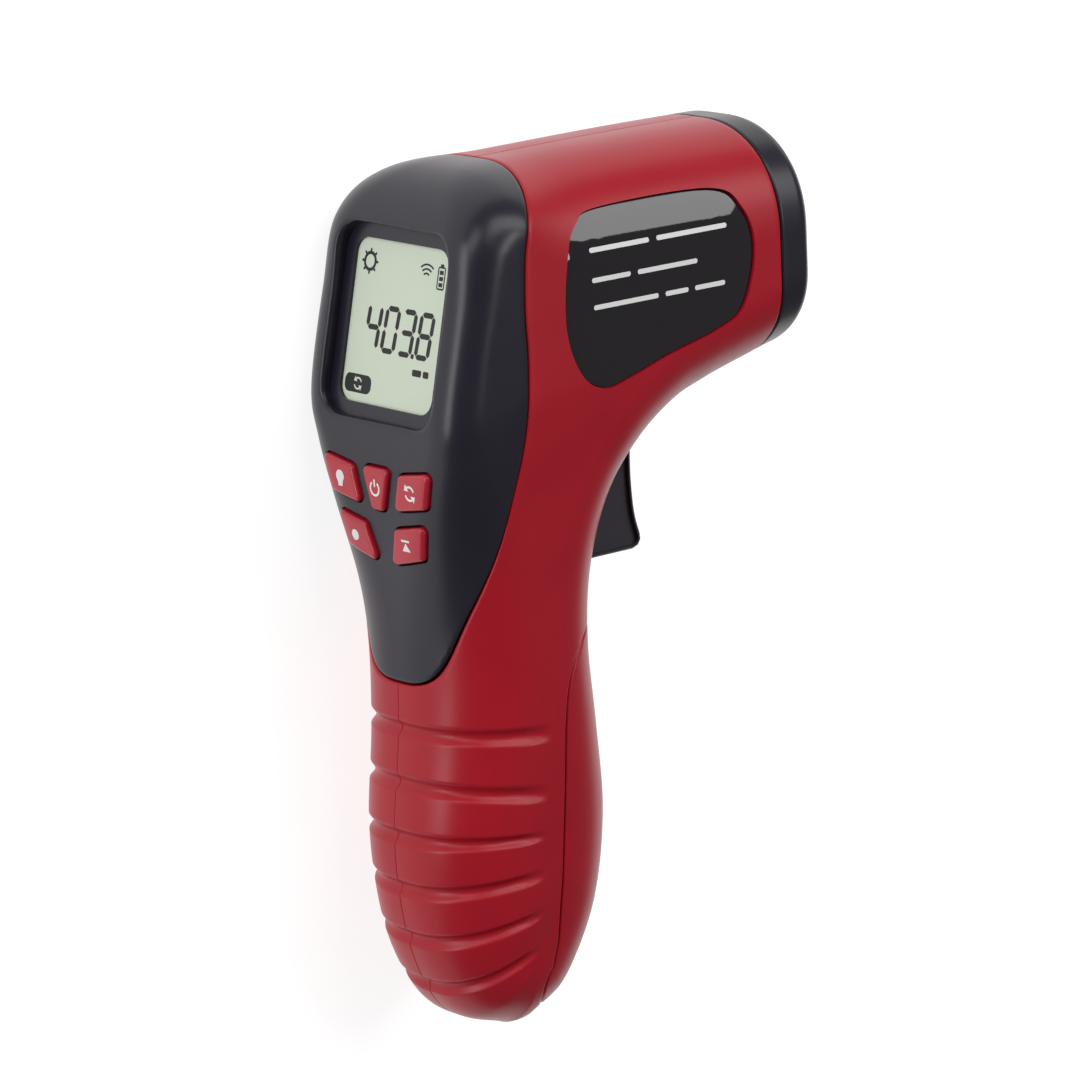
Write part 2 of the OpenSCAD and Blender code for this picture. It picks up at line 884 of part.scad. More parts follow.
module display_board() {
  color(board_green)
    multmatrix(face_at)
      difference() {
        layer(board_front, board_t)
          tall_rect(board_half, panel_low - 0.6, panel_high + 1);
        for (p = face_posts)
          translate([p[0], p[1], board_back - 1])
            cylinder(r = board_screw_r, h = board_t + 2);
      }
}
module small_screw(p, back, reach) {
  translate([p[0], p[1], back - 1.2])
    cylinder(r = post_r, h = 1.2);
  translate([p[0], p[1], back])
    cylinder(r = board_screw_r, h = reach);
}
module board_screws() {
  color(steel) {
    multmatrix(face_at)
      for (p = face_posts)
        small_screw(p, board_back, board_t + 2.5);
    multmatrix(key_at)
      for (p = key_posts)
        small_screw(p, key_board_back, board_t + 2.5);
  }
}
// One key: its cap follows the body's surface, a flange behind the bezel keeps it in
module key_cap(corners) {
  color(key_red) {
    resize([0, 0, 0])
      intersection() {
        multmatrix(key_at)
          layer(6, 6 + pad_d + flange_t / 2)
            rounded(key_round)
              polygon(corners);
        both_halves()
          half_body([for (k = [6:0.5:11]) k], -key_proud, 6);
      }
    multmatrix(key_at)
      layer(-pad_d, flange_t)
        offset(delta = flange_w)
          polygon(corners);
  }
}
module lamp_button() {
  key_cap(key_list[0]);
}
module power_button() {
  key_cap(key_list[1]);
}
module auto_button() {
  key_cap(key_list[2]);
}
module record_button() {
  key_cap(key_list[3]);
}
module max_button() {
  key_cap(key_list[4]);
}
module key_switches() {
  color([0.25, 0.25, 0.27])
    multmatrix(key_at)
      for (p = key_mids)
        translate([p[0], p[1], key_board_front]) {
          translate([-switch_w / 2, -switch_w / 2, 0])
            cube([switch_w, switch_w, switch_h]);
          cylinder(r = switch_w * 0.29, h = switch_h + plunger_h);
        }
}
module key_board() {
  color(board_green)
    multmatrix(key_at)
      difference() {
        layer(key_board_front, board_t)
          tall_rect(key_board_half, key_board_low, key_board_high);
        for (p = key_posts)
          translate([p[0], p[1], key_board_back - 1])
            cylinder(r = board_screw_r, h = board_t + 2);
      }
}
module board_link() {
  low = place(key_at, key_board_high - 3, key_board_back);
  bend = place(key_at, key_board_high, key_board_back);
  foot = place(face_at, panel_low - 0.6, board_back);
  top = place(face_at, panel_low + 2, board_back);
  off = [0.4, 0];
  color([0.85, 0.82, 0.7])
    translate([0, 0, -6])
      linear_extrude(12)
        polygon([low, bend, foot, top, top + off, foot + off, bend + off, low + off]);
}
module trigger() {
  color([0.2, 0.18, 0.21])
    difference() {
      union() {
        translate([0, 0, -trigger_half])
          linear_extrude(2 * trigger_half)
            trigger_side();
        side_bore(trigger_pivot, trigger_boss_r, -trigger_half, trigger_half);
        translate([switch_front + 3.2, switch_low + switch_len - 6, -2])
          cube([4, 3, 4]);
      }
      side_bore(trigger_pivot, trigger_pin_r + pin_clear, -far, far);
    }
}
module trigger_pin() {
  color(steel)
    side_bore(trigger_pivot, trigger_pin_r, -14, 14);
}
module trigger_spring() {
  x0 = switch_front + spring_wire;
  x1 = trigger_rear[0][0] - spring_wire;
  n = spring_turns * 12;
  rows = [
    for (i = [0:n]) for (j = [0:5])
      let (a = 30 * i, b = 60 * j, r = spring_r + spring_wire * cos(b))
      [x0 + (x1 - x0) * i / n + spring_wire * sin(b), spring_y + r * cos(a), r * sin(a)]
  ];
  skin = [
    for (i = [0:n - 1]) for (j = [0:5])
      let (a = 6 * i + j, b = 6 * i + (j + 1) % 6)
      each [[a, b, b + 6], [a, b + 6, a + 6]]
  ];
  color(steel)
    polyhedron(rows, concat(skin, [[5, 4, 3, 2, 1, 0]], [[for (j = [0:5]) 6 * n + j]]));
}
module trigger_switch() {
  color([0.12, 0.12, 0.13]) {
    translate([switch_x, switch_low, -switch_half])
      cube([switch_depth, switch_len, 2 * switch_half]);
    translate([switch_front - 0.5, switch_low + switch_len - 5.5, -1])
      cube([1.5, 2, 2]);
  }
}
module lens_tube() {
  color([0.1, 0.1, 0.11])
    translate([tube_back, lens_y, 0])
      rotate([0, 90, 0])
        difference() {
          cylinder(r = tube_r, h = tube_len);
          translate([0, 0, -1])
            cylinder(r = lens_r, h = tube_len + 2);
        }
}
module receiver_lens() {
  dome = (lens_r * lens_r + lens_bulge * lens_bulge) / (2 * lens_bulge);
  color([0.8, 0.88, 0.95, 0.5])
    translate([lens_front, lens_y, 0])
      rotate([0, -90, 0])
        intersection() {
          cylinder(r = lens_r, h = lens_edge + lens_bulge);
          translate([0, 0, lens_edge + lens_bulge - dome])
            sphere(dome);
        }
}
module lens_ring() {
  color([0.15, 0.15, 0.16])
    translate([ring_front - 3, lens_y, 0])
      rotate([0, 90, 0])
        difference() {
          cylinder(r = lens_r, h = 3);
          translate([0, 0, -1])
            cylinder(r = lens_r - 0.8, h = 5);
        }
}
module sensor_board() {
  color(board_green)
    translate([tube_back - board_t, lens_y, 0])
      rotate([0, 90, 0])
        cylinder(r = tube_r, h = board_t);
}
module sensor() {
  color([0.08, 0.08, 0.1])
    translate([tube_back, lens_y, 0])
      rotate([0, 90, 0])
        cylinder(r = 2.5, h = 4);
}
module laser_module() {
  color(brass)
    translate([laser_back, laser_y, 0])
      rotate([0, 90, 0])
        difference() {
          cylinder(r = laser_r, h = laser_len);
          translate([0, 0, laser_len - 4])
            cylinder(r = aperture_r, h = 5);
        }
}
module battery_door() {
  color(red)
    difference() {
      resize([0, 0, 0])
        both_halves() {
          intersection() {
            upright(far)
              door_region(0);
            difference() {
              outer_half();
              inner_half();
              translate([0, 0, lug_z[0] - lug_gap])
                linear_extrude(lug_z[1] - lug_z[0] + 2 * lug_gap)
                  translate(door_hinge)
                    circle(lug_r + lug_gap, $fn = 16);
            }
          }
          intersection() {
            rib_space();
            door_ear();
          }
        }
      side_bore(door_hinge, door_pin_r, -pin_end, pin_end);
    }
}
// Ear inside the door that holds the hinge pin
module door_ear() {
  h = door_hinge;
  translate([0, 0, ear_z[0]])
    linear_extrude(ear_z[1] - ear_z[0])
      union() {
        translate(h)
          circle(lug_r, $fn = 16);
        polygon([h + [-1, -lug_r + 0.3], h + [lug_r - 0.3, 1], h + [12, 4], h + [8, -6], h + [3, -12]]);
      }
}
module door_pin() {
  color(steel)
    side_bore(door_hinge, door_pin_r, -pin_end, pin_end);
}
module battery() {
  color([0.13, 0.16, 0.25])
    translate([battery_x, battery_y, -battery_w / 2])
      cube([battery_t, battery_l, battery_w]);
  color(steel)
    for (z = [-stud_z, stud_z])
      translate([battery_x + battery_t / 2, battery_top - 0.5, z])
        rotate([-90, 0, 0])
          cylinder(r = z < 0 ? 2.9 : 3.8, h = terminal_h + 0.5);
}
module battery_snap() {
  color([0.07, 0.07, 0.08])
    translate([battery_x + 1.5, snap_y, -12.5])
      cube([battery_t - 3, snap_t, 25]);
}
// A lead from the snap connector up to the back of the key board, as a tube with eight sides
module lead(z) {
  start = snap_y + snap_t;
  path = [
    [lead_x, start], [lead_x, start + 6],
    place(key_at, key_board_low - 1, lead_out), place(key_at, key_board_low + 5, lead_out)
  ];
  n = len(path);
  across = [
    for (k = [0:n - 1])
      let (d = unit(path[min(k + 1, n - 1)] - path[max(k - 1, 0)]))
      [d[1], -d[0]]
  ];
  ring = [
    for (k = [0:n - 1]) for (j = [0:7])
      [each path[k] + lead_r * cos(45 * j) * across[k], z + lead_r * sin(45 * j)]
  ];
  skin = [
    for (k = [0:n - 2]) for (j = [0:7])
      let (a = 8 * k + j, b = 8 * k + (j + 1) % 8)
      each [[a, b, b + 8], [a, b + 8, a + 8]]
  ];
  polyhedron(ring, concat(skin, [[7, 6, 5, 4, 3, 2, 1, 0]], [[for (j = [0:7]) 8 * n - 8 + j]]));
}
module red_lead() {
  color([0.7, 0.1, 0.1])
    lead(5);
}
module black_lead() {
  color([0.05, 0.05, 0.05])
    lead(-5);
}
module housing_screws() {
  color(steel)
    at_screws() {
      translate([0, 0, -screw_seat - screw_head_h])
        cylinder(r = screw_head_r, h = screw_head_h);
      translate([0, 0, -screw_seat])
        cylinder(r = screw_r, h = screw_seat + screw_bite);
    }
}

// The origin is below the middle of the part, on the plane of the left flank
key_rows = [for (u = [row_at(key_foot[1]):0.02:row_at(key_foot[1] + upper_key[1][1])]) u];
key_x = min([for (u = key_rows) along(rear_run, u)[0]]) - key_proud;
rear_x = min(key_x, min([for (u = [0:0.1:last]) along(rear_run, u)[0]]));
top_y = max([for (u = [12:0.1:last]) along(rear_run, u)[1]]);
low_y = min([for (u = [0:0.1:1]) min(along(rear_run, u)[1], along(front_run, u)[1])]);
translate([-(rear_x + nose_x) / 2, -(top_y + low_y) / 2, barrel_half]) {
  right_housing();
  left_housing();
  rear_bezel();
  nose_cap();
  side_label();
  lcd_window();
  lcd_panel();
  backlight();
  contact_strips();
  display_board();
  board_screws();
  lamp_button();
  power_button();
  auto_button();
  record_button();
  max_button();
  key_switches();
  key_board();
  board_link();
  trigger();
  trigger_pin();
  trigger_spring();
  trigger_switch();
  lens_tube();
  receiver_lens();
  lens_ring();
  sensor_board();
  sensor();
  laser_module();
  battery_door();
  door_pin();
  battery();
  battery_snap();
  red_lead();
  black_lead();
  housing_screws();
}
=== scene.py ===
"""Looks of a pistol-type laser tachometer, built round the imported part.

The shells are patches of the part's own lofted skin at a finer step: the skin is sliced along the
parting lines, and each patch gets rounded edges and a wall behind it.
Working frame: x forward, y up the grip, z out of the right flank, in millimetres.
"""
import json
import math

import bmesh
import bpy
import numpy as np
from mathutils import Matrix, Vector
from mathutils.bvhtree import BVHTree
from mathutils.geometry import delaunay_2d_cdt


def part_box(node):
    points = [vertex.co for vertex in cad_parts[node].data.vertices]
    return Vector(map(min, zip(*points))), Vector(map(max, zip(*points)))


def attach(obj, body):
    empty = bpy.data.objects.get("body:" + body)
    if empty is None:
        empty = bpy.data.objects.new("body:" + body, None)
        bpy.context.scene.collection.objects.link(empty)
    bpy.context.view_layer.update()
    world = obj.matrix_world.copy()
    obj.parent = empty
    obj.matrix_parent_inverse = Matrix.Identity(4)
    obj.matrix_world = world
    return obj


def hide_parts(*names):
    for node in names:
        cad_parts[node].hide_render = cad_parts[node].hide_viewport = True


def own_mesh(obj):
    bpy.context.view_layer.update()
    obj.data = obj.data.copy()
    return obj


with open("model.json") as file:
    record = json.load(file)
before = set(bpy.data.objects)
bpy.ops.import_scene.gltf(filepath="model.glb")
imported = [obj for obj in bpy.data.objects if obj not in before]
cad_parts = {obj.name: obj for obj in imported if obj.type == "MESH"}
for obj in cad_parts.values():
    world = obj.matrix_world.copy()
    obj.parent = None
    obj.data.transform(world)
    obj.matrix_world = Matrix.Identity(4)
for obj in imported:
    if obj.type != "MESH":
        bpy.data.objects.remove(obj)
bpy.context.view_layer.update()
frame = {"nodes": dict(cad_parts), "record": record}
MM = 0.001

# Skin: outlines of the body, row by row from the grip's tip to the nose
REAR = [[15.5, -139.5], [6.5, -136], [0.8, -128], [-2.8, -116], [-4, -100], [-2, -82], [-1.2, -66],
        [-1.6, -54], [-3.2, -40], [-3.6, -28], [-3.4, -18], [0.5, 0], [3.6, 14], [12.5, 22], [30, 23],
        [58, 23.4], [86, 23.4]]
FRONT = [[18.2, -139.5], [27, -134.5], [33.2, -125], [37.2, -113.5], [38.8, -99], [37.4, -83],
         [35.8, -67], [36.8, -54], [40.4, -42], [46.8, -33.5], [55, -27.8], [63, -25], [69, -23.4],
         [74, -22.2], [78, -21.2], [82, -20.4], [86, -19.8]]
# Half widths of the body, and of the flat strips along the outlines, row by row
TIP_HALF, GRIP_HALF, BARREL_HALF = 15, 19.4, 23.3
HALF = ([TIP_HALF + k for k in (0, 1, 2)] + [GRIP_HALF + k for k in (-1.2, -0.4, 0.3, 0.8, 1.2)]
        + [BARREL_HALF - k for k in (1.8, 0.5)] + [BARREL_HALF] * 7)
FACE_FLAT, RIDGE_FLAT = 16.3, 1.5
FLAT = ([RIDGE_FLAT] * 7 + [RIDGE_FLAT + 2] + [FACE_FLAT * k for k in (0.52, 0.85, 1, 1, 0.82, 0.33)]
        + [RIDGE_FLAT + 0.8] * 3)
RIDGE = RIDGE_FLAT + 1
# Depths of the roundings beside the display, on the barrel's top and along the front, and their exponent
FACE_ROUND, BARREL_ROUND, FRONT_ROUND, SQUARENESS = 7, 20, 16, 2.19
REAR_ROUND = ([12, 13, 16, 19, 20, 20, 19, 17] + [FACE_ROUND + k for k in (6, 2, 0, 0, 2)]
              + [BARREL_ROUND - 8] + [BARREL_ROUND] * 3)
UNDER_ROUND = [12, 13, 15, 18, 19, 18, 17, 17] + [FRONT_ROUND] * 9
# First row with a flat flank, last row with grooves, and the least width left to a rounding
FLAT_ROW, GROOVE_ROWS, LEAST_ROUND = 10, 9, 3
# Points of a half section: the seam's own steps, the rear and front strips and each rounding
SEAM_STEPS = np.array([0, 0.06, 0.14, 0.3])
REAR_STRIP, FRONT_STRIP, ROUND_POINTS = 8, 5, 25
# Points of a section at which its flat flank starts and ends, and the step of its filling
FLANK_START, FLANK_END, FLANK_STEP = 34, 47, 1.5
# Steps between the rows of the skin, on the grooves and elsewhere, and the row numbers to measure with
GROOVE_PACE, PLAIN_PACE, ROW_NUDGE, TANGENT_NUDGE = 0.3, 1.1, 0.02, 0.01
# Finger grooves on the grip, and how they run out towards the flank (degrees, power)
GROOVE_TOP, GROOVE_PITCH, GROOVE_COUNT, GROOVE_W, GROOVE_D, GROOVE_LIP = -79.5, 10, 6, 3.4, 1, 1.3
GROOVE_RUNOUT, RUNOUT_POWER = 14, 0.7
# Parting lines in the side view
BEZEL_LINE = [[25, 26], [20.5, 21.3], [15.1, 12.2], [13.7, 0], [13.9, -12], [12.6, -25.3], [8.3, -41.6],
              [3.5, -56.9], [0, -69], [-5, -74]]
DOOR_LINE = [[40, -62], [30, -64.3], [24.6, -69.6], [22.3, -77], [21.4, -92], [20.8, -110], [20.4, -122]]
DOOR_HINGE, DOOR_END, DOOR_ARC = (24, -131), 5.9, range(140, 281, 5)
NOSE_X, NOSE_LEN, NOSE_ROUND = 83, 7.9, 3
NOSE_JOINT = NOSE_X - NOSE_LEN
LENS_Y, LENS_R, LASER_Y, APERTURE_R = 4, 10, -13.2, 1.6
PART_GAP, EDGE_ROUND, SEAM_ROUND, WALL, THICK_WALL = 0.24, 0.45, 0.22, 2.0, 3.6
# Grip's tip: where its walls thin out, the rows it takes up, its half width by height, and its end
TIP_Y, TIP_FADE, TIP_THIN = -140.5, 10, 0.15
TIP_ROWS, TIP_TOP, TIP_STEPS, TIP_LEVEL, TIP_SLOPE = 2.6, 4, 60, -119.9, 0.138
DOME_ANGLES, DOME_RISE = (90, 75, 55, 30), 0.25
# Far outside the part, the least distance between slices, on the centre plane, and an edge kept sharp
FAR, SNAP, ON_CENTRE, SHARP = 200, 0.004, 1e-3, 38

nose_top, tube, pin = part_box("nose_cap")[1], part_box("lens_tube"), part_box("door_pin")
ORIGIN = np.array([
    nose_top[0] / MM - NOSE_X,
    (tube[0][1] + tube[1][1]) / 2 / MM - LENS_Y,
    (pin[0][2] + pin[1][2]) / 2 / MM,
])


def spline(points, u):
    """Catmull-Rom curve through the rows of a list, at row numbers with fractions."""
    p = np.asarray(points, float)
    n = len(p) - 1
    p = np.concatenate([[2 * p[0] - p[1]], p, [2 * p[n] - p[n - 1]]])
    u = np.asarray(u, float)
    i = np.clip(np.floor(u).astype(int), 0, n - 1)
    f = u - i
    f = f[..., None] if p.ndim > 1 else f
    a, b, c, d = p[i], p[i + 1], p[i + 2], p[i + 3]
    bend, twist = 2 * a - 5 * b + 4 * c - d, 3 * b - a - 3 * c + d
    return 0.5 * (2 * b + (c - a) * f + bend * f ** 2 + twist * f ** 3)


def curve(points, steps):
    """Open curve through a list of points."""
    return spline(points, np.linspace(0, len(points) - 1, (len(points) - 1) * steps + 1))


def loop(points, steps):
    """Closed curve through a list of points."""
    p = list(points)
    wide = p[-2:] + p + p[:3]
    return spline(wide, np.arange(2, len(p) + 2, 1 / steps))


def unit(v):
    return v / np.linalg.norm(v, axis=-1, keepdims=True)


def reach(points, depths, u, side):
    """From an outline to the inner end of its rounding. Below row 1 the ends run straight to the tip."""
    def end(k):
        ahead = min(k + TANGENT_NUDGE, len(points) - 1)
        t = unit(spline(points, ahead) - spline(points, k - TANGENT_NUDGE))
        return spline(points, k) + spline(depths, k) * side * np.array([t[1], -t[0]])
    tip = np.array(points[0]) + [0, depths[0]]
    return (end(u) if u >= 1 else tip + (end(1) - tip) * u) - spline(points, u)


def groove_depth(y):
    """Depth of the finger grooves at a height."""
    d = min(abs(y - GROOVE_TOP + GROOVE_PITCH * i) for i in range(GROOVE_COUNT))
    return GROOVE_D * math.cos(math.pi * d / GROOVE_W) ** GROOVE_LIP if d < GROOVE_W / 2 else 0


def nearest(points, line):
    """Distance of points to a line of points, and where along it their nearest spots are."""
    a, d = line[:-1], np.diff(line, axis=0)
    t = np.clip(((points[:, None] - a) * d).sum(2) / (d * d).sum(1), 0, 1)
    away = np.linalg.norm(points[:, None] - a - t[..., None] * d, axis=2)
    each, k = np.arange(len(points)), away.argmin(1)
    return away[each, k], k + t[each, k]


# Outline of the grip's tip from rear to front, with the depth of its rounding and its flat strip
TIP_U = np.linspace(0, TIP_TOP, TIP_STEPS)
TIP_LINE = np.vstack([spline(REAR, TIP_U)[::-1], spline(FRONT, TIP_U)])
TIP_DEPTH = np.concatenate([spline(REAR_ROUND, TIP_U)[::-1], spline(UNDER_ROUND, TIP_U)])
TIP_STRIP = np.interp(np.concatenate([-TIP_U[::-1], TIP_U]), [-1, 1], [FLAT[0], RIDGE])


def tip_height(points):
    """Half width of the grip's tip at points of the side view, from their distance to its outline."""
    away, at = nearest(points, TIP_LINE)
    depth, strip = (np.interp(at, np.arange(len(TIP_LINE)), v) for v in (TIP_DEPTH, TIP_STRIP))
    share = 1 - np.clip(1 - away / depth, 0, 1) ** SQUARENESS
    full = HALF[2] + (points[:, 1] - TIP_LEVEL) * TIP_SLOPE
    return strip + (full - strip) * share ** (1 / SQUARENESS)


def section(u, inset=0):
    """Half a cross-section from the rear seam round the right flank to the front seam."""
    r, f = spline(REAR, u), spline(FRONT, u)
    to_rear_end, to_front_end = reach(REAR, REAR_ROUND, u, 1), reach(FRONT, UNDER_ROUND, u, -1)
    nr, nf = unit(to_rear_end), unit(to_front_end)
    w = min(float(spline(HALF, u)), BARREL_HALF) - inset
    flat = min(float(spline(FLAT, u)), w - LEAST_ROUND)
    br, bf = np.linalg.norm(to_rear_end) - inset, np.linalg.norm(to_front_end) - inset
    q = 2 / SQUARENESS
    g = groove_depth(r[1]) if u < GROOVE_ROWS else 0
    t = np.radians(np.linspace(0, 90, ROUND_POINTS))
    c, s = np.clip(np.cos(t), 0, 1), np.sin(t)
    fade = g * np.clip((90 - np.degrees(t)) / GROOVE_RUNOUT, 0, 1) ** RUNOUT_POWER
    zr = np.concatenate([SEAM_STEPS, np.linspace(SEAM_STEPS[-1], flat, REAR_STRIP)[1:-1]])
    rear_flat = np.c_[np.tile(r + (inset + g) * nr, (len(zr), 1)), zr]
    rear = np.c_[r + (inset + br * (1 - c ** q))[:, None] * nr, flat + (w - flat) * s ** q]
    front = np.c_[f + (inset + bf * (1 - c ** q))[:, None] * nf, RIDGE + (w - RIDGE) * s ** q][::-1]
    mid = np.linspace(rear[-1], front[0], FLANK_END - FLANK_START + 1)[1:-1]
    if u < TIP_ROWS:
        for part in (rear, front, mid):
            part[:, 2] += (tip_height(part[:, :2]) - part[:, 2]) * min(TIP_ROWS - u, 1)
    rear += np.c_[(fade * c)[:, None] * nr, -fade * s]
    zf = np.concatenate([np.linspace(RIDGE, SEAM_STEPS[-1], FRONT_STRIP)[1:], SEAM_STEPS[-2::-1]])
    front_flat = np.c_[np.tile(f + inset * nf, (len(zf), 1)), zf]
    return np.vstack([rear_flat, rear, mid, front, front_flat])


def row_numbers():
    """Rows of the fine skin: close together where the grooves are."""
    rows, u, top = [0.0], 0.0, len(REAR) - 1
    while u < top:
        y = spline(REAR, u)[1]
        on_grooves = GROOVE_TOP - GROOVE_PITCH * GROOVE_COUNT < y < GROOVE_TOP + GROOVE_W
        pace = GROOVE_PACE if on_grooves else PLAIN_PACE
        a = min(u, top - ROW_NUDGE)
        b = a + ROW_NUDGE
        run = max(np.linalg.norm(spline(k, b) - spline(k, a)) / ROW_NUDGE for k in (REAR, FRONT))
        u = min(u + pace / run, top)
        rows.append(u)
    return rows


def fine_skin():
    """The right half of the skin as rows of points, with a small dome that closes the grip's tip.

    Also gives the first row from which the flank is flat.
    """
    numbers = row_numbers()
    rows = [section(u) for u in numbers]
    tip = rows[0]
    mid = (tip + tip[::-1]) / 2
    dome = []
    for a in DOME_ANGLES:
        k = math.radians(a)
        ring = mid + (tip - mid) * math.cos(k)
        ring[:, 1] -= DOME_RISE * math.sin(k)
        dome.append(ring)
    return np.array(dome + rows), len(dome) + int(np.searchsorted(numbers, FLAT_ROW))


def inside(points, poly):
    """Which points lie inside a polygon."""
    x, y = points[:, :1], points[:, 1:2]
    a, b = poly, np.roll(poly, -1, 0)
    cross = (a[:, 1] > y) != (b[:, 1] > y)
    with np.errstate(divide="ignore", invalid="ignore"):
        at = a[:, 0] + (y - a[:, 1]) / (b[:, 1] - a[:, 1]) * (b[:, 0] - a[:, 0])
    return (cross & (x < at)).sum(1) % 2 == 1


bezel_curve = curve(BEZEL_LINE, 10)
bezel_poly = np.vstack([bezel_curve, [[-FAR, BEZEL_LINE[-1][1]], [-FAR, BEZEL_LINE[0][1]]]])
door_foot = [[DOOR_HINGE[0] + DOOR_END * math.cos(t), DOOR_HINGE[1] + DOOR_END * math.sin(t)]
             for t in map(math.radians, DOOR_ARC)]
door_curve = np.vstack([curve(DOOR_LINE, 10), door_foot, [[door_foot[-1][0], -FAR]]])
door_poly = np.vstack([door_curve, [[FAR, -FAR], [FAR, DOOR_LINE[0][1]]]])


def fields(points):
    """Signed distances to the parting lines: into the bezel, into the door, beyond the nose joint."""
    p = points[:, :2]
    bezel = nearest(p, bezel_curve)[0] * np.where(inside(p, bezel_poly), 1, -1)
    door = nearest(p, door_curve)[0] * np.where(inside(p, door_poly), 1, -1)
    return np.c_[bezel, door, points[:, 0] - NOSE_JOINT]


# Distances from a parting line at which the skin is sliced, for the rounded edges on both sides of it
EDGE_LEVELS = [PART_GAP / 2 + EDGE_ROUND * k for k in (0, 0.08, 0.25, 0.55, 1)]
LEVELS = [-k for k in EDGE_LEVELS] + EDGE_LEVELS
NOSE_LEVELS = [NOSE_X - NOSE_JOINT - NOSE_ROUND * k for k in (0, 0.03, 0.1, 0.22, 0.4, 0.65, 1)]


def slice_skin(bm, normal, column, levels):
    """Adds edges to a mesh along lines where one of the fields has these values."""
    values = fields(np.array([v.co for v in bm.verts]))[:, column]
    layer = bm.verts.layers.float.new("field")
    for v, x in zip(bm.verts, values):
        v[layer] = x
    for level in levels:
        for e in list(bm.edges):
            a, b = e.verts
            fa, fb = a[layer] - level, b[layer] - level
            if fa * fb < 0 and min(abs(fa), abs(fb)) > SNAP:
                share = fa / (fa - fb)
                between = a[normal] * (1 - share) + b[normal] * share
                _, v = bmesh.utils.edge_split(e, a, share)
                v[layer], v[normal] = level, between
        for f in list(bm.faces):
            on = [v for v in f.verts if abs(v[layer] - level) <= SNAP]
            if len(on) == 2 and not any(on[1] in e.verts for e in on[0].link_edges if f in e.link_faces):
                bmesh.utils.face_split(f, on[0], on[1])
    bm.verts.layers.float.remove(layer)


def fill_flank(bm, edge):
    """Fills the flat part of the flank inside an edge of vertices with even triangles."""
    ring = np.array([v.co for v in edge])
    (x0, y0, z), (x1, y1, _) = ring.min(0), ring.max(0)
    x, y = np.meshgrid(np.arange(x0, x1, FLANK_STEP), np.arange(y0, y1, FLANK_STEP))
    spots = np.c_[x.ravel(), y.ravel()]
    outline = ring[:, :2]
    away = nearest(spots, np.vstack([outline, outline[:1]]))[0] > FLANK_STEP / 2
    spots = spots[inside(spots, outline) & away]
    verts = list(edge) + [bm.verts.new((*k, z)) for k in spots]
    places = [Vector(k) for k in np.vstack([outline, spots])]
    _, _, faces, source, _, _ = delaunay_2d_cdt(places, [], [list(range(len(edge)))], 1, 1e-5)
    for f in faces:
        bm.faces.new([verts[source[i][0]] for i in f])


def sliced_skin():
    """Points, normals and faces of the skin's right half, sliced along the parting lines."""
    grid, flat = fine_skin()
    m, n = grid.shape[:2]
    bm = bmesh.new()
    v = [[bm.verts.new(p) for p in row] for row in grid]
    for i in range(m - 1):
        for j in range(n - 1):
            if i < flat or not FLANK_START <= j < FLANK_END:
                bm.faces.new([v[i][j], v[i + 1][j], v[i + 1][j + 1], v[i][j + 1]])
    low, high = v[flat][FLANK_START:FLANK_END + 1], v[-1][FLANK_START:FLANK_END + 1]
    front, rear = ([row[k] for row in v[flat + 1:-1]] for k in (FLANK_END, FLANK_START))
    fill_flank(bm, low + front + high[::-1] + rear[::-1])
    bmesh.ops.delete(bm, geom=[k for k in bm.verts if not k.link_faces], context="VERTS")
    bmesh.ops.remove_doubles(bm, verts=bm.verts, dist=1e-4)
    bmesh.ops.dissolve_degenerate(bm, edges=bm.edges, dist=1e-4)
    bmesh.ops.recalc_face_normals(bm, faces=bm.faces)
    bm.normal_update()
    if max(bm.verts, key=lambda k: k.co.z).normal.z < 0:
        bmesh.ops.reverse_faces(bm, faces=bm.faces)
        bm.normal_update()
    normal = bm.verts.layers.float_vector.new("normal")
    for k in bm.verts:
        k[normal] = k.normal
    for column, levels in ((0, LEVELS), (1, LEVELS), (2, LEVELS + NOSE_LEVELS)):
        slice_skin(bm, normal, column, levels)
    bm.verts.index_update()
    points = np.array([k.co for k in bm.verts])
    normals = np.array([k[normal] for k in bm.verts])
    normals[points[:, 2] < ON_CENTRE, 2] = 0
    faces = [[k.index for k in f.verts] for f in bm.faces]
    bm.free()
    return points, unit(normals), faces


SKIN, NORMAL, FACES = sliced_skin()
FIELD = fields(SKIN)
CENTRE = np.array([FIELD[f].mean(0) for f in FACES])
CENTRE_X = np.array([SKIN[f, 0].mean() for f in FACES])


def rounding(distance, radius):
    """How far a rounded edge lies below the surface, at a distance in from it."""
    d = np.clip(radius - np.maximum(distance, 0), 0, radius)
    return radius - np.sqrt(radius ** 2 - d ** 2)


def patch(keep, edges, both, wall=WALL):
    """A closed shell from the kept faces of the skin. edges are (distance from the edge, radius) pairs.

    both adds the left half, joined to the right one at the centre plane.
    """
    faces = [f for f, k in zip(FACES, keep) if k]
    used = sorted({i for f in faces for i in f})
    index = {k: i for i, k in enumerate(used)}
    faces = [[index[i] for i in f] for f in faces]
    drop = sum(rounding(d[used], r) for d, r in edges)
    thin = wall * np.clip((SKIN[used, 1] - TIP_Y) / TIP_FADE, TIP_THIN, 1)
    outer, inner = (SKIN[used] - NORMAL[used] * k[:, None] for k in (drop, thin))
    n = len(used)
    sides = dict.fromkeys(k for f in faces for k in zip(f, f[1:] + f[:1]))
    rim = [(a, b) for a, b in sides if (b, a) not in sides]
    if both:
        rim = [(a, b) for a, b in rim if max(abs(outer[a, 2]), abs(outer[b, 2])) > ON_CENTRE]
    points = np.vstack([outer, inner])
    back = [[i + n for i in reversed(f)] for f in faces]
    solid = faces + back + [[b, a, a + n, b + n] for a, b in rim]
    if both:
        other = [[i + 2 * n for i in reversed(f)] for f in solid]
        return np.vstack([points, points * [1, 1, -1]]), solid + other
    return points, solid


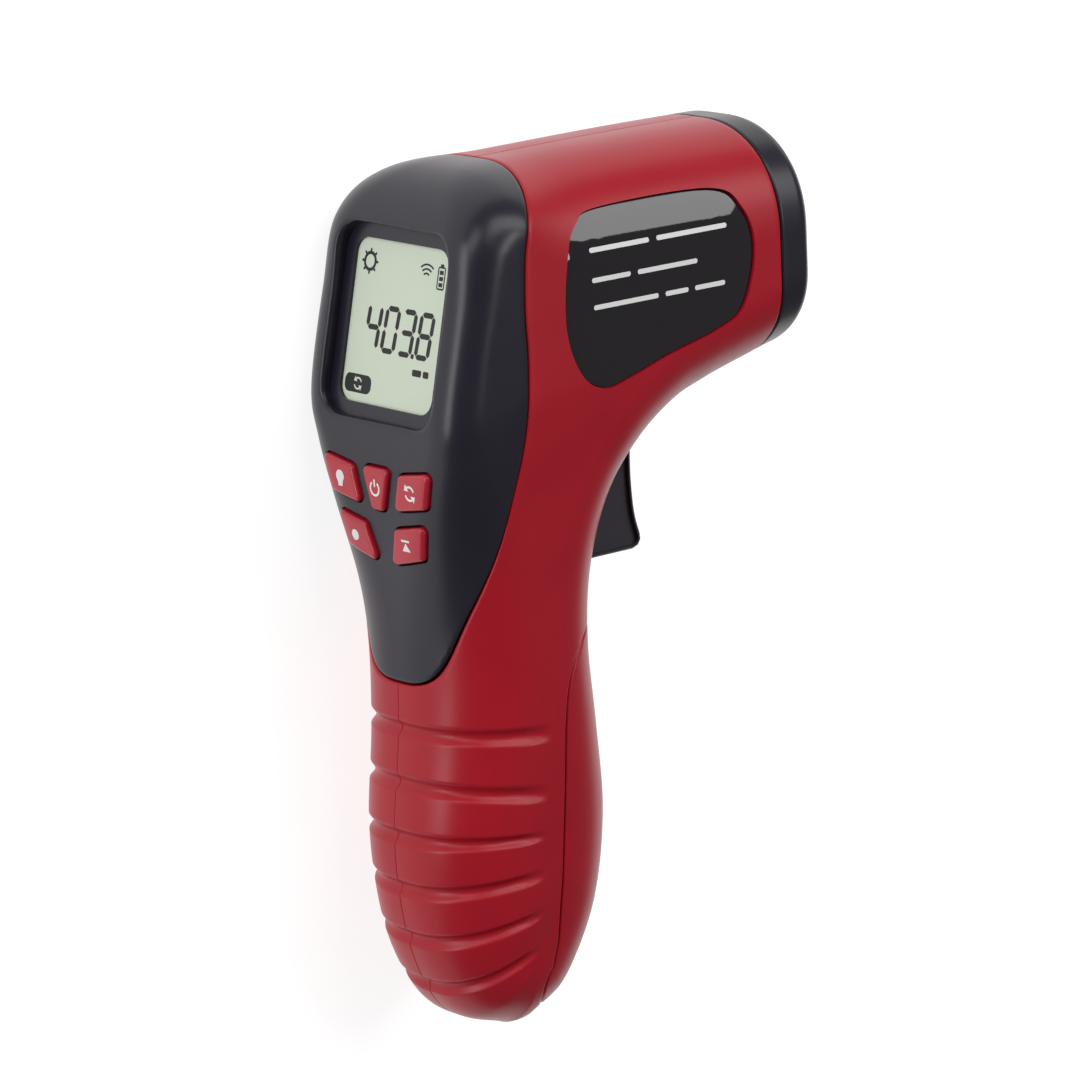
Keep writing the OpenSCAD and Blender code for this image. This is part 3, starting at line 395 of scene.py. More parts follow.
def to_row(points):
    """Points of the working frame in the part's frame, in metres."""
    return (np.asarray(points, float) + ORIGIN) * MM


def add_mesh(name, points, faces, merge=2e-3):
    """A smooth-shaded object from points in the working frame."""
    mesh = bpy.data.meshes.new(name)
    bm = bmesh.new()
    v = [bm.verts.new(p) for p in to_row(points)]
    for f in faces:
        if len(set(f)) > 2:
            bm.faces.new([v[i] for i in f])
    if merge:
        bmesh.ops.remove_doubles(bm, verts=bm.verts, dist=merge * MM)
    bmesh.ops.recalc_face_normals(bm, faces=bm.faces)
    bm.to_mesh(mesh)
    bm.free()
    obj = bpy.data.objects.new(name, mesh)
    bpy.context.collection.objects.link(obj)
    smooth(obj)
    return obj


def smooth(obj):
    obj.data.shade_smooth()
    obj.data.set_sharp_from_angle(angle=math.radians(SHARP))


def cut(obj, cutters):
    """Takes the cutters away from an object."""
    for c in cutters:
        m = obj.modifiers.new("cut", "BOOLEAN")
        m.operation, m.solver, m.object = "DIFFERENCE", "MANIFOLD", c
    graph = bpy.context.evaluated_depsgraph_get()
    mesh = bpy.data.meshes.new_from_object(obj.evaluated_get(graph))
    obj.modifiers.clear()
    obj.data = mesh
    for c in cutters:
        bpy.data.objects.remove(c)
    smooth(obj)


def band_faces(n, rings):
    """Faces between rings of n points each."""
    return [[r * n + i, r * n + (i + 1) % n, (r + 1) * n + (i + 1) % n, (r + 1) * n + i]
            for r in range(rings - 1) for i in range(n)]


def capped_faces(n, rings):
    """Faces between rings of n points each, and over both ends."""
    return band_faces(n, rings) + [list(range(n))[::-1], list(range((rings - 1) * n, rings * n))]


def stack(name, rings):
    """A closed solid through rings of points, with flat ends."""
    return add_mesh(name, np.vstack(rings), capped_faces(len(rings[0]), len(rings)), merge=0)


def prism(name, outline, frame_at, low, high):
    """A closed solid: an outline in a local frame, from one height to another."""
    return stack(name, [frame_at(np.c_[outline, np.full(len(outline), h)]) for h in (low, high)])


def joined(shapes):
    """Several (points, faces) pairs as one."""
    points, faces, n = [], [], 0
    for p, f in shapes:
        points.append(p)
        faces += [[i + n for i in k] for k in f]
        n += len(p)
    return np.vstack(points), faces


def filled(outline, low, high):
    """A thin closed piece over an outline. low and high give the heights over points."""
    points = np.vstack([np.c_[outline, low(outline)], np.c_[outline, high(outline)]])
    return points, capped_faces(len(outline), 2)


def stroke(path, width, low, high, closed=False):
    """A thin closed piece of one width along a path."""
    p = np.asarray(path, float)
    t = unit(np.roll(p, -1, 0) - np.roll(p, 1, 0)) if closed else unit(np.gradient(p, axis=0))
    side = np.c_[-t[:, 1], t[:, 0]] * width / 2
    n = len(p)
    lines = [(p + side, low), (p - side, low), (p - side, high), (p + side, high)]
    points = np.vstack([np.c_[q, h(q)] for q, h in lines])
    faces = []
    for i in range(n if closed else n - 1):
        j = (i + 1) % n
        faces += [[k * n + i, k * n + j, (k + 1) % 4 * n + j, (k + 1) % 4 * n + i] for k in range(4)]
    if not closed:
        faces += [[0, n, 2 * n, 3 * n], [4 * n - 1, 3 * n - 1, 2 * n - 1, n - 1]]
    return points, faces


def box_outline(x0, y0, x1, y1):
    return np.array([[x0, y0], [x1, y0], [x1, y1], [x0, y1]], float)


def arc(centre, radius, start, end, steps=12):
    t = np.radians(np.linspace(start, end, steps + 1))
    return np.array(centre) + radius * np.c_[np.cos(t), np.sin(t)]


def arrow_head(centre, radius, angle, size):
    """The point of an arrow that runs round a circle, at an angle in degrees."""
    a = math.radians(angle)
    out, ahead = np.array([math.cos(a), math.sin(a)]), np.array([-math.sin(a), math.cos(a)])
    at = np.array(centre) + radius * out
    return np.array([at - out * size, at + ahead * size * 1.3, at + out * size])


def cycle_mark(centre, radius, low, high):
    """Two arrows that follow each other round a circle."""
    shapes = []
    for start in (20, 200):
        shapes.append(stroke(arc(centre, radius, start, start + 105), radius * 0.32, low, high))
        shapes.append(filled(arrow_head(centre, radius, start + 105, radius * 0.6), low, high))
    return shapes


def bar(a, b, width):
    """A straight bar with pointed ends."""
    along = unit(b - a) * width / 2
    across = np.array([-along[1], along[0]])
    return np.array([a, a + along - across, b - along - across, b, b - along + across, a + along + across])


def rounded(outline, radius, steps=5):
    """A polygon with its corners rounded."""
    p = np.asarray(outline, float)
    result = []
    for a, b, c in zip(np.roll(p, 1, 0), p, np.roll(p, -1, 0)):
        back, on = unit(a - b), unit(c - b)
        half = math.acos(float(np.clip(back @ on, -1, 1))) / 2
        centre = b + unit(back + on) * radius / math.sin(half)
        first, final = (b + k * radius / math.tan(half) - centre for k in (back, on))
        start = math.degrees(math.atan2(first[1], first[0]))
        turn = (math.degrees(math.atan2(final[1], final[0])) - start + 180) % 360 - 180
        result.append(arc(centre, radius, start, start + turn, steps))
    return np.vstack(result)


def dense(outline, step):
    """An outline with points added so that none are further apart than a step."""
    result = []
    for a, b in zip(outline, np.roll(outline, -1, 0)):
        n = max(math.ceil(np.linalg.norm(b - a) / step), 1)
        result += [a + (b - a) * k / n for k in range(n)]
    return np.array(result)


# Angles of a rounded edge, and the height from which the skin is looked for, just off the centre plane
QUARTER = [math.radians(a) for a in (0, 15, 30, 45, 60, 75, 90)]
PROBE, OFF_CENTRE = 15, 0.02
skin_tree = BVHTree.FromPolygons([Vector(p) for p in SKIN], FACES)


def surface(at, points):
    """Height of the skin over points of a frame on the rear face."""
    beside = np.maximum(np.abs(points[:, 0]), OFF_CENTRE)
    start = at(np.c_[beside, points[:, 1], np.full(len(points), PROBE)])
    way = (at(np.zeros((1, 3))) - at(np.array([[0, 0, 1.0]])))[0]
    return np.array([PROBE - skin_tree.ray_cast(Vector(p), Vector(way))[3] for p in start])


def side_view(p):
    """The working frame itself: outlines in the side view, heights out of the right flank."""
    return p


def tilted(origin, tilt):
    """A frame on the rear face: X to the right flank, Y up the face, Z out of it."""
    s, c = math.sin(math.radians(tilt)), math.cos(math.radians(tilt))
    x, y = origin
    return lambda p: np.c_[x + p[:, 1] * s - p[:, 2] * c, y + p[:, 1] * c + p[:, 2] * s, p[:, 0]]


def node_material(name):
    """A new material, with its nodes, its links and its shader."""
    mat = bpy.data.materials.new(name)
    mat.use_nodes = True
    nodes, links = mat.node_tree.nodes, mat.node_tree.links
    return mat, nodes, links, nodes["Principled BSDF"]


def linear(rgb):
    """A colour as read off a screen, 0 to 255, as shader values."""
    v = np.array(rgb) / 255
    v = np.where(v <= 0.04045, v / 12.92, ((v + 0.055) / 1.055) ** 2.4)
    return (*v, 1)


# Noise of the plastics: drift of colour and gloss, and grain
DRIFT_SCALE, DRIFT_DETAIL, GLOSS_DRIFT, GRAIN_DETAIL, GRAIN_DEPTH, COAT_ROUGH = 90, 3, 0.1, 2, 0.3, 0.04


def moulded(name, rgb, roughness, grain=0.25, depth=0.1, vary=0.08, coat=0.0, metallic=0.0, shine=0.4):
    """Plastic or metal: fine grain in the surface, faint drift in colour and gloss. grain in mm."""
    mat, nodes, links, shader = node_material(name)
    shader.inputs["Metallic"].default_value = metallic
    shader.inputs["Specular IOR Level"].default_value = shine
    shader.inputs["Coat Weight"].default_value = coat
    shader.inputs["Coat Roughness"].default_value = COAT_ROUGH
    place = nodes.new("ShaderNodeTexCoord")
    drift = nodes.new("ShaderNodeTexNoise")
    drift.inputs["Scale"].default_value = DRIFT_SCALE
    drift.inputs["Detail"].default_value = DRIFT_DETAIL
    links.new(place.outputs["Object"], drift.inputs["Vector"])
    tone = nodes.new("ShaderNodeMix")
    tone.data_type = "RGBA"
    base = np.array(linear(rgb))
    tone.inputs["A"].default_value = (*(base[:3] * (1 - vary)), 1)
    tone.inputs["B"].default_value = (*np.minimum(base[:3] * (1 + vary), 1), 1)
    links.new(drift.outputs["Fac"], tone.inputs["Factor"])
    links.new(tone.outputs["Result"], shader.inputs["Base Color"])
    gloss = nodes.new("ShaderNodeMapRange")
    gloss.inputs["To Min"].default_value = roughness * (1 - GLOSS_DRIFT)
    gloss.inputs["To Max"].default_value = roughness * (1 + GLOSS_DRIFT)
    links.new(drift.outputs["Fac"], gloss.inputs["Value"])
    links.new(gloss.outputs["Result"], shader.inputs["Roughness"])
    fine = nodes.new("ShaderNodeTexNoise")
    fine.inputs["Scale"].default_value = 1 / (grain * MM)
    fine.inputs["Detail"].default_value = GRAIN_DETAIL
    links.new(place.outputs["Object"], fine.inputs["Vector"])
    bump = nodes.new("ShaderNodeBump")
    bump.inputs["Strength"].default_value = depth
    bump.inputs["Distance"].default_value = grain * MM * GRAIN_DEPTH
    links.new(fine.outputs["Fac"], bump.inputs["Height"])
    links.new(bump.outputs["Normal"], shader.inputs["Normal"])
    return mat


RED = moulded("red_plastic", (163, 16, 34), 0.34, grain=0.3, depth=0.1, shine=0.32)
# Black plastic: its blue-violet cast is painted cool light, put in the base colour in place of a tinted lamp
BLACK = moulded("black_plastic", (29, 26, 38), 0.3, grain=0.22, depth=0.16)
GLOSS = moulded("gloss_label", (26, 22, 27), 0.05, grain=0.6, depth=0.02, coat=0.6)
KEY = moulded("key_plastic", (174, 26, 44), 0.28, grain=0.4, depth=0.05, coat=0.2)
DARK = moulded("trigger_plastic", (46, 42, 50), 0.4, grain=0.25, depth=0.15)
PRINT = moulded("white_print", (225, 225, 225), 0.5, vary=0.03)
SEGMENT = moulded("lcd_segment", (16, 17, 16), 0.5, vary=0.1)
PANEL = moulded("lcd_panel", (200, 210, 192), 0.55, grain=0.4, depth=0.02, vary=0.03)


def clear(name, tint, gloss=0.04, index=1.45):
    """Clear plastic: light passes straight through, with a gloss that grows at grazing angles."""
    mat, nodes, links, shader = node_material(name)
    shader.inputs["Roughness"].default_value = gloss
    shader.inputs["Base Color"].default_value = (0.02, 0.02, 0.02, 1)
    through = nodes.new("ShaderNodeBsdfTransparent")
    through.inputs["Color"].default_value = tint
    rim = nodes.new("ShaderNodeFresnel")
    rim.inputs["IOR"].default_value = index
    mix = nodes.new("ShaderNodeMixShader")
    links.new(rim.outputs["Fac"], mix.inputs["Fac"])
    links.new(through.outputs["BSDF"], mix.inputs[1])
    links.new(shader.outputs["BSDF"], mix.inputs[2])
    links.new(mix.outputs["Shader"], nodes["Material Output"].inputs["Surface"])
    return mat


# A finish for every material slot of the record
FINISH = {
    "red_shell": RED, "black_shell": BLACK, "gloss_black": GLOSS,
    "key_plastic": KEY, "trigger_plastic": DARK,
    "clear_plastic": clear("clear_plastic", (0.95, 0.97, 0.96, 1)), "display": PANEL,
    "diffuser": moulded("diffuser", (236, 236, 230), 0.6, vary=0.03),
    "elastomer": moulded("elastomer", (205, 165, 155), 0.7, vary=0.12),
    "board": moulded("board", (44, 112, 72), 0.35, grain=0.8, depth=0.15, vary=0.2),
    "switch_plastic": moulded("switch_plastic", (50, 50, 54), 0.5),
    "ribbon": moulded("ribbon", (205, 200, 172), 0.4, grain=1.2, depth=0.2, vary=0.1),
    "steel": moulded("steel", (178, 178, 182), 0.3, grain=0.12, depth=0.06, metallic=1.0),
    "tube_plastic": moulded("tube_plastic", (30, 30, 32), 0.55),
    "lens_glass": clear("lens_glass", (0.86, 0.93, 0.95, 1)),
    "brass": moulded("brass", (196, 160, 92), 0.28, grain=0.15, depth=0.05, metallic=1.0),
    "battery_case": moulded("battery_case", (60, 62, 70), 0.35, grain=0.6, depth=0.04, vary=0.15),
    "red_wire": moulded("red_wire", (178, 30, 34), 0.45),
    "black_wire": moulded("black_wire", (28, 28, 30), 0.45),
}


def finish_piece(obj, material, body="instrument", stands_for=()):
    """Gives a piece its material, the body it rides on and the nodes it replaces."""
    obj.data.materials.clear()
    obj.data.materials.append(material)
    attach(obj, body)
    if stands_for:
        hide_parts(*stands_for)


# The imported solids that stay
for subpart in frame["record"]["subparts"]:
    for place in frame["nodes"][subpart["node"]].material_slots:
        place.material = FINISH[subpart["material_slot"]]

# Distances from the edges of the mouldings, and the faces of each
half_gap = PART_GAP / 2
bezel_in, door_in, nose_in = FIELD.T - half_gap
bezel_out, door_out, nose_out = -FIELD.T - half_gap
in_bezel = CENTRE[:, 0] > half_gap
in_door = CENTRE[:, 1] > half_gap
in_nose = (CENTRE[:, 2] > half_gap) & (CENTRE_X < NOSE_X)
in_body = (CENTRE < -half_gap).all(1)

# The two red halves: the trigger's slot, the label's recess and the screw holes of the left one
TRIGGER_HALF, TRIGGER_GAP = 7.5, 0.4
SLOT = [[51.8, -27], [60, -27], [60, -55.3], [28, -55.3], [40, -27]]
LABEL_LINE = [[24, 7], [27.5, 12.2], [34, 14.2], [60, 14], [66.5, 9.5], [68.5, 1], [65.4, -8.6], [59, -12],
              [47, -14.8], [38, -17.4], [31.5, -18.5], [26, -15], [22.9, -6]]
LABEL_D, LABEL_T, LABEL_GAP, GLUE_T, LABEL_ROUND = 1.0, 0.4, 0.15, 0.05, 0.2
RECESS_TOP = 40.0
SCREWS = [[29, 14], [57, -19.5], [23, -34], [6.2, -61], [8, -125]]
SCREW_HOLE_R, SCREW_SEAT, SCREW_TOP, SCREW_POINTS = 2.8, 10, 60, 40


def level(z):
    """A height that is the same at all points."""
    return lambda p: np.full(len(p), float(z))


def seat_height(y, inset):
    """Height of the label's seat: round the barrel's upper corner, then straight down the flank."""
    corner = section(len(REAR) - 1, inset)
    top = int(np.argmax(corner[:, 2]))
    return np.interp(y, corner[top::-1, 1], corner[top::-1, 2])


def shrunk(outline, d):
    """An outline moved in by a distance."""
    t = unit(np.roll(outline, -1, 0) - np.roll(outline, 1, 0))
    n = np.c_[t[:, 1], -t[:, 0]]
    turn = np.sum(outline[:, 0] * np.roll(outline[:, 1], -1) - outline[:, 1] * np.roll(outline[:, 0], -1))
    return outline - n * d * (1 if turn > 0 else -1)


def pad(outline, heights, low, steps=10):
    """A closed piece over an outline: rings of (inset, height at points), then a filled top."""
    n = len(outline)
    mid = outline.mean(0)
    rings = [np.c_[outline, low(outline)]]
    for inset, height in heights:
        ring = shrunk(outline, inset)
        rings.append(np.c_[ring, height(ring)])
    edge, top = rings[-1][:, :2], heights[-1][1]
    for k in range(1, steps):
        ring = mid + (edge - mid) * (1 - k / steps)
        rings.append(np.c_[ring, top(ring)])
    points = np.vstack(rings + [np.c_[mid[None], top(mid[None])], np.c_[mid[None], low(mid[None])]])
    faces = band_faces(n, len(rings))
    last, tip = (len(rings) - 1) * n, len(rings) * n
    faces += [[last + i, last + (i + 1) % n, tip] for i in range(n)]
    faces += [[(i + 1) % n, i, tip + 1] for i in range(n)]
    return points, faces


label_edge = loop(LABEL_LINE, 8)
for side, name in ((1, "right_housing"), (-1, "left_housing")):
    points, faces = patch(in_body, [(bezel_out, EDGE_ROUND), (door_out, EDGE_ROUND), (nose_out, EDGE_ROUND),
                                    (SKIN[:, 2], SEAM_ROUND)], both=False)
    shell = add_mesh(name + "_skin", points * [1, 1, side], faces)
    slot_half = TRIGGER_HALF + TRIGGER_GAP
    cutters = [prism("slot", np.array(SLOT, float), side_view, -slot_half, slot_half)]
    if side > 0:
        points, faces = pad(label_edge, [(0, level(RECESS_TOP))],
                            lambda p: seat_height(p[:, 1], LABEL_D))
        cutters.append(add_mesh("recess", points, faces, merge=0))
    else:
        turns = np.linspace(0, 2 * math.pi, SCREW_POINTS, endpoint=False)
        ring = SCREW_HOLE_R * np.array([[math.cos(a), math.sin(a)] for a in turns])
        cutters += [prism("screw_hole", ring + p, side_view, -SCREW_TOP, -SCREW_SEAT) for p in SCREWS]
    cut(shell, cutters)
    finish_piece(shell, RED, stands_for=[name])

# Label, with rows of plain bars for its print
LABEL_ROWS = [[7, [[29.5, 43.6], [45.4, 62.3]]], [1.5, [[29.7, 38.8], [40.5, 54.8]]],
              [-3.5, [[29.9, 45.2], [46.9, 52.4], [54, 61.3]]]]
ROW_H, ROW_ROUND, PRINT_T = 0.9, 0.45, 0.03
label_top, label_low = LABEL_D - LABEL_T - GLUE_T, LABEL_D - GLUE_T


def label_height(lift):
    return lambda p: seat_height(p[:, 1], label_top) + lift


edges = [(LABEL_ROUND * (1 - math.cos(a)), label_height(LABEL_ROUND * (math.sin(a) - 1)))
         for a in QUARTER]
points, faces = pad(shrunk(label_edge, LABEL_GAP), edges, lambda p: seat_height(p[:, 1], label_low))
finish_piece(add_mesh("label_plate", points, faces, merge=0), GLOSS, stands_for=["side_label"])
bars = []
for y, words in LABEL_ROWS:
    for x0, x1 in words:
        word = rounded(box_outline(x0, y - ROW_H / 2, x1, y + ROW_H / 2), ROW_H * ROW_ROUND)
        bars.append(filled(word, label_height(-PRINT_T), label_height(PRINT_T)))
finish_piece(add_mesh("label_print", *joined(bars), merge=0), PRINT)

# Bezel with the display's recess and the key holes
FACE, KEYS = tilted((0.5, 0), 12.4), tilted((-2.2, -54), -3.4)
VIEW_HALF, VIEW_UP, VIEW_DOWN, VIEW_BORDER, RECESS_D, RECESS_FLOOR = 13.5, 10.3, 19.6, 2.6, 2.3, 0.6
RECESS_ROUND, OPENING_ROUND, POCKET_ROUND, PANEL_ROUND, VIEW_STEP, POCKET_D = 5, 3, 1, 0.8, 1.5, 12
PANEL_MARGIN, POCKET_GAP, WINDOW_T = 2.2, 0.2, 1
LIP, LIP_TOP, KEY_LIP, KEY_GAP = 0.9, 6, 0.3, 0.3
KEY_ROUND, KEY_STEP, KEY_PROUD, KEY_EDGE, KEY_DEPTH = 1, 0.8, 0.9, 0.7, 4.2
UPPER_KEY = [[6.75, 23.3], [15.6, 24.7], [13.75, 17.8], [4.9, 16.3]]
LOWER_KEY = [[4.3, 12.9], [12.7, 14.5], [10.9, 7.7], [2, 5.6]]
MIDDLE_KEY = [[-3.85, 23.8], [3.85, 23.8], [1.6, 15.8], [-1.6, 15.8]]


def view_outline(margin, radius):
    """The display's visible part, made larger by a margin."""
    side = VIEW_HALF + margin
    return dense(rounded(box_outline(-side, -VIEW_DOWN - margin, side, VIEW_UP + margin), radius), VIEW_STEP)


def lipped(name, outline, at, low, lip):
    """A cutter that follows the skin, with a rounded lip where it comes out."""
    rings = [np.c_[outline, low(outline)]]
    for a in QUARTER:
        ring = shrunk(outline, -lip * (1 - math.cos(a)))
        rings.append(np.c_[ring, surface(at, ring) - lip * (1 - math.sin(a))])
    rings.append(rings[-1] + [0, 0, LIP_TOP])
    return stack(name, [at(r) for r in rings])


def key_outline(corners, side):
    return dense(rounded(np.array(corners, float) * [side, 1], KEY_ROUND), KEY_STEP)


def under_keys(depth):
    return lambda p: surface(KEYS, p) - depth


key_shapes = {
    "lamp": key_outline(UPPER_KEY, -1), "power": key_outline(MIDDLE_KEY, 1),
    "auto": key_outline(UPPER_KEY, 1), "record": key_outline(LOWER_KEY, -1),
    "max": key_outline(LOWER_KEY, 1),
}
points, faces = patch(in_bezel, [(bezel_in, EDGE_ROUND)], both=True, wall=THICK_WALL)
bezel = add_mesh("rear_bezel_skin", points, faces)
floor_z = -RECESS_D - RECESS_FLOOR
cutters = [
    lipped("recess", view_outline(VIEW_BORDER, RECESS_ROUND), FACE, level(-RECESS_D), LIP),
    prism("opening", view_outline(0, OPENING_ROUND), FACE, -POCKET_D, 0),
    prism("pocket", view_outline(PANEL_MARGIN + POCKET_GAP, POCKET_ROUND), FACE, -POCKET_D, floor_z),
]
cutters += [lipped("key_hole", shrunk(o, -KEY_GAP), KEYS, under_keys(2 * KEY_DEPTH), KEY_LIP)
            for o in key_shapes.values()]
cut(bezel, cutters)
finish_piece(bezel, BLACK, stands_for=["rear_bezel"])

# Display: an opaque panel stands for the window, with the figures on its face
DIGIT_X, DIGIT_Y, DIGIT_W, DIGIT_H = [-8.6, -3.5, 1.4, 6.5], -9.5, 3.4, 7.7
DIGIT_LEAN, SEGMENT_W, SEGMENT_GAP = 0.09, 1.0, 0.03
READING = (4, 0, 3, 8)
SEGMENTS = {0: "abcdef", 3: "abcdg", 4: "bcfg", 8: "abcdefg"}
SEGMENT_ENDS = {"d": (0, 1), "g": (2, 3), "a": (4, 5), "e": (0, 2), "c": (1, 3), "f": (2, 4), "b": (3, 5)}
POINT_BOX, UNIT_BOXES = (5.2, -10, 6.1, -9.1), ((6.2, -13, 8.8, -11.8), (9.3, -13, 10.9, -11.8))
MODE_BOX, MODE_ROUND, MODE_AT, MODE_R = (-12.85, -18, -5.15, -14.6), 1.3, (-9, -16.3), 1.0
SUN_AT, SUN_R, SUN_LINE, RAY_ENDS, RAY_W = (-9.7, 6), 1.55, 0.6, (1.7, 2.45), 0.5
WAVE_AT, WAVE_R, WAVE_LINE = (6.9, 4.4), (1.2, 2.0, 2.8), 0.35
CELL_BOX, CELL_CAP, CELL_LINE = (10.2, 3.2, 12.1, 7.1), (10.7, 7.2, 11.6, 7.7), 0.3
CHARGE_X, CHARGE_Y, CHARGE_H = (10.6, 11.7), (3.6, 4.7, 5.8), 0.75
INK_T, INK_ROUND, INK_STEP = 0.02, 0.3, 0.3
window = view_outline(PANEL_MARGIN, PANEL_ROUND)
finish_piece(prism("display_glass", window, FACE, floor_z - WINDOW_T, floor_z),
             PANEL, stands_for=["lcd_window"])
ink_low, ink_high = level(floor_z - INK_T), level(floor_z + INK_T)


def display_piece(name, shapes, material):
    points, faces = joined(shapes)
    finish_piece(add_mesh(name, FACE(points), faces, merge=0), material)


def ink(outline):
    return filled(np.asarray(outline, float), ink_low, ink_high)


def ink_line(path, width, closed=False):
    return stroke(path, width, ink_low, ink_high, closed)


def digit(x, number):
    """Seven-segment figure with its lower left corner at x."""
    corner = [np.array([x + a * DIGIT_W + DIGIT_LEAN * b * DIGIT_H / 2, DIGIT_Y + b * DIGIT_H / 2])
              for b in (0, 1, 2) for a in (0, 1)]
    lines = [(corner[i], corner[j]) for i, j in (SEGMENT_ENDS[k] for k in SEGMENTS[number])]
    return [ink(bar(a + (b - a) * SEGMENT_GAP, b + (a - b) * SEGMENT_GAP, SEGMENT_W)) for a, b in lines]


def sun_ray(turn):
    way = np.array([math.cos(turn), math.sin(turn)])
    return ink(bar(*(np.array(SUN_AT) + r * way for r in RAY_ENDS), RAY_W))


shapes = [s for x, number in zip(DIGIT_X, READING) for s in digit(x, number)]
shapes.append(ink(rounded(box_outline(*POINT_BOX), INK_ROUND)))
shapes.append(ink(rounded(box_outline(*MODE_BOX), MODE_ROUND)))
shapes.append(ink_line(arc(SUN_AT, SUN_R, 0, 345, 24), SUN_LINE, closed=True))
shapes += [sun_ray(a) for a in np.radians(range(0, 360, 45))]
shapes += [ink_line(arc(WAVE_AT, r, 50, 130), WAVE_LINE) for r in WAVE_R]
cell = dense(rounded(box_outline(*CELL_BOX), INK_ROUND), INK_STEP)
shapes.append(ink_line(cell, CELL_LINE, closed=True))
shapes.append(ink(box_outline(*CELL_CAP)))
shapes += [ink(box_outline(CHARGE_X[0], y, CHARGE_X[1], y + CHARGE_H)) for y in CHARGE_Y]
shapes += [ink(rounded(box_outline(*k), INK_ROUND)) for k in UNIT_BOXES]
display_piece("display_ink", shapes, SEGMENT)
arrows = cycle_mark(np.array(MODE_AT), MODE_R, ink_low, level(floor_z + 2 * INK_T))
display_piece("display_mark", arrows, PANEL)

# Keys: the caps stand proud of the skin by the same amount all over, with generic marks
BULB_R, BULB_UP, BULB_FOOT, BULB_DOWN = 1.15, 0.35, 0.55, 1.5
LOOP_R, DOT_R, MARK_LINE, POWER_BAR, PEAK_LINE = 1.25, 1.05, 0.42, (0.3, 1.7), 0.4
PEAK, PEAK_BAR = [[-1.1, -0.9], [1.1, -0.9], [0, 0.7]], [[-1.1, 1.1], [1.1, 1.1]]
key_tops = under_keys(-KEY_PROUD)


def on_key(lift):
    return lambda p: key_tops(p) + lift


def key_mark(name, c):
    """The mark on a key round its centre: bulb, power sign, two arrows, dot, or a triangle and a bar."""
    low, high = on_key(-PRINT_T), on_key(PRINT_T)
    if name == "lamp":
        foot = [c + [-BULB_FOOT, -BULB_DOWN], c + [BULB_FOOT, -BULB_DOWN]]
        return [filled(np.vstack([arc(c + [0, BULB_UP], BULB_R, -50, 230, 20), foot]), low, high)]
    if name == "power":
        return [stroke(arc(c, LOOP_R, 125, 415, 22), MARK_LINE, low, high),
                stroke([c + [0, k] for k in POWER_BAR], MARK_LINE, low, high)]
    if name == "auto":
        return cycle_mark(c, LOOP_R, low, high)
    if name == "record":
        return [filled(arc(c, DOT_R, 0, 345, 23), low, high)]
    return [filled(c + np.array(PEAK), low, high), stroke(c + np.array(PEAK_BAR), PEAK_LINE, low, high)]


for name, outline in key_shapes.items():
    edges = [(KEY_EDGE * (1 - math.cos(a)), on_key(KEY_EDGE * (math.sin(a) - 1))) for a in QUARTER]
    points, faces = pad(outline, edges, under_keys(KEY_DEPTH), steps=6)
    body = name + "_button_body"
    cap = add_mesh(name + "_key", KEYS(points), faces)
    finish_piece(cap, KEY, body, [name + "_button"])
    points, faces = joined(key_mark(name, outline.mean(0)))
    finish_piece(add_mesh(name + "_mark", KEYS(points), faces, merge=0), PRINT, body)

# Trigger
TRIGGER_FRONT = [[51.2, -27], [50.4, -32], [50.1, -38.5], [50.3, -44], [50.8, -48], [51.8, -51.5]]
TRIGGER_TOE = [[51.9, -52.7], [51.2, -53.8], [49.8, -54.3]]
TRIGGER_REAR = [[33.4, -54.3], [33.6, -48], [36.6, -40], [42.6, -29]]
TRIGGER_ROUND = 0.9
outline = np.vstack([curve(TRIGGER_FRONT, 6), TRIGGER_TOE, curve(TRIGGER_REAR, 6)])
rings = []
for side in (-1, 1):
    for a in QUARTER[::-side]:
        ring = shrunk(outline, TRIGGER_ROUND * (1 - math.cos(a)))
        half = TRIGGER_HALF - TRIGGER_ROUND * (1 - math.sin(a))
        rings.append(np.c_[ring, np.full(len(ring), side * half)])
finish_piece(stack("trigger_lever", rings), DARK, "trigger_body", ["trigger"])

# Trigger spring: a coil of wire in the place of the imported spring
COIL_WIRE, COIL_TURNS, COIL_STEPS, COIL_PRESS = 0.25, 4, 96, 2.4
spring_low, spring_high = (np.array(k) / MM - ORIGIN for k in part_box("trigger_spring"))
coil_middle = (spring_low + spring_high) / 2
coil_r = (spring_high[1] - spring_low[1]) / 2 - COIL_WIRE
rings = []
for k in np.linspace(0, 1, COIL_STEPS + 1):
    turn = 2 * math.pi * COIL_TURNS * k
    out = np.array([0, math.cos(turn), math.sin(turn)])
    along = spring_low[0] + COIL_WIRE + (spring_high[0] - spring_low[0] - 2 * COIL_WIRE) * k
    core = np.array([along, coil_middle[1], coil_middle[2]]) + coil_r * out
    rings.append(np.array([core + COIL_WIRE * (math.cos(b) * out + [math.sin(b), 0, 0])
                           for b in np.radians(np.arange(0, 360, 45))]))
coil = stack("trigger_coil", rings)
finish_piece(coil, FINISH["steel"], "instrument", ["trigger_spring"])
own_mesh(coil)

# Door
points, faces = patch(in_door, [(door_in, EDGE_ROUND)], both=True)
door = add_mesh("battery_door_skin", points, faces)
finish_piece(door, RED, "door_body", ["battery_door"])

# Nose: its front plate fills the shell's inner edge
PLATE_T, HOLE_EDGE, HOLE_POINTS, LENS_RIM, SPARE = 2.5, 0.5, 60, 1, 1


def row_at(x):
    """The row number near the nose at which the skin's upper edge has this x."""
    rows = np.linspace(len(REAR) - 2, len(REAR) - 1, 200)
    return float(np.interp(x, spline(REAR, rows)[:, 0], rows))


def from_front(p):
    """A frame on the nose: X and Y across it, Z forward."""
    return np.c_[p[:, 2], p[:, 1], p[:, 0]]


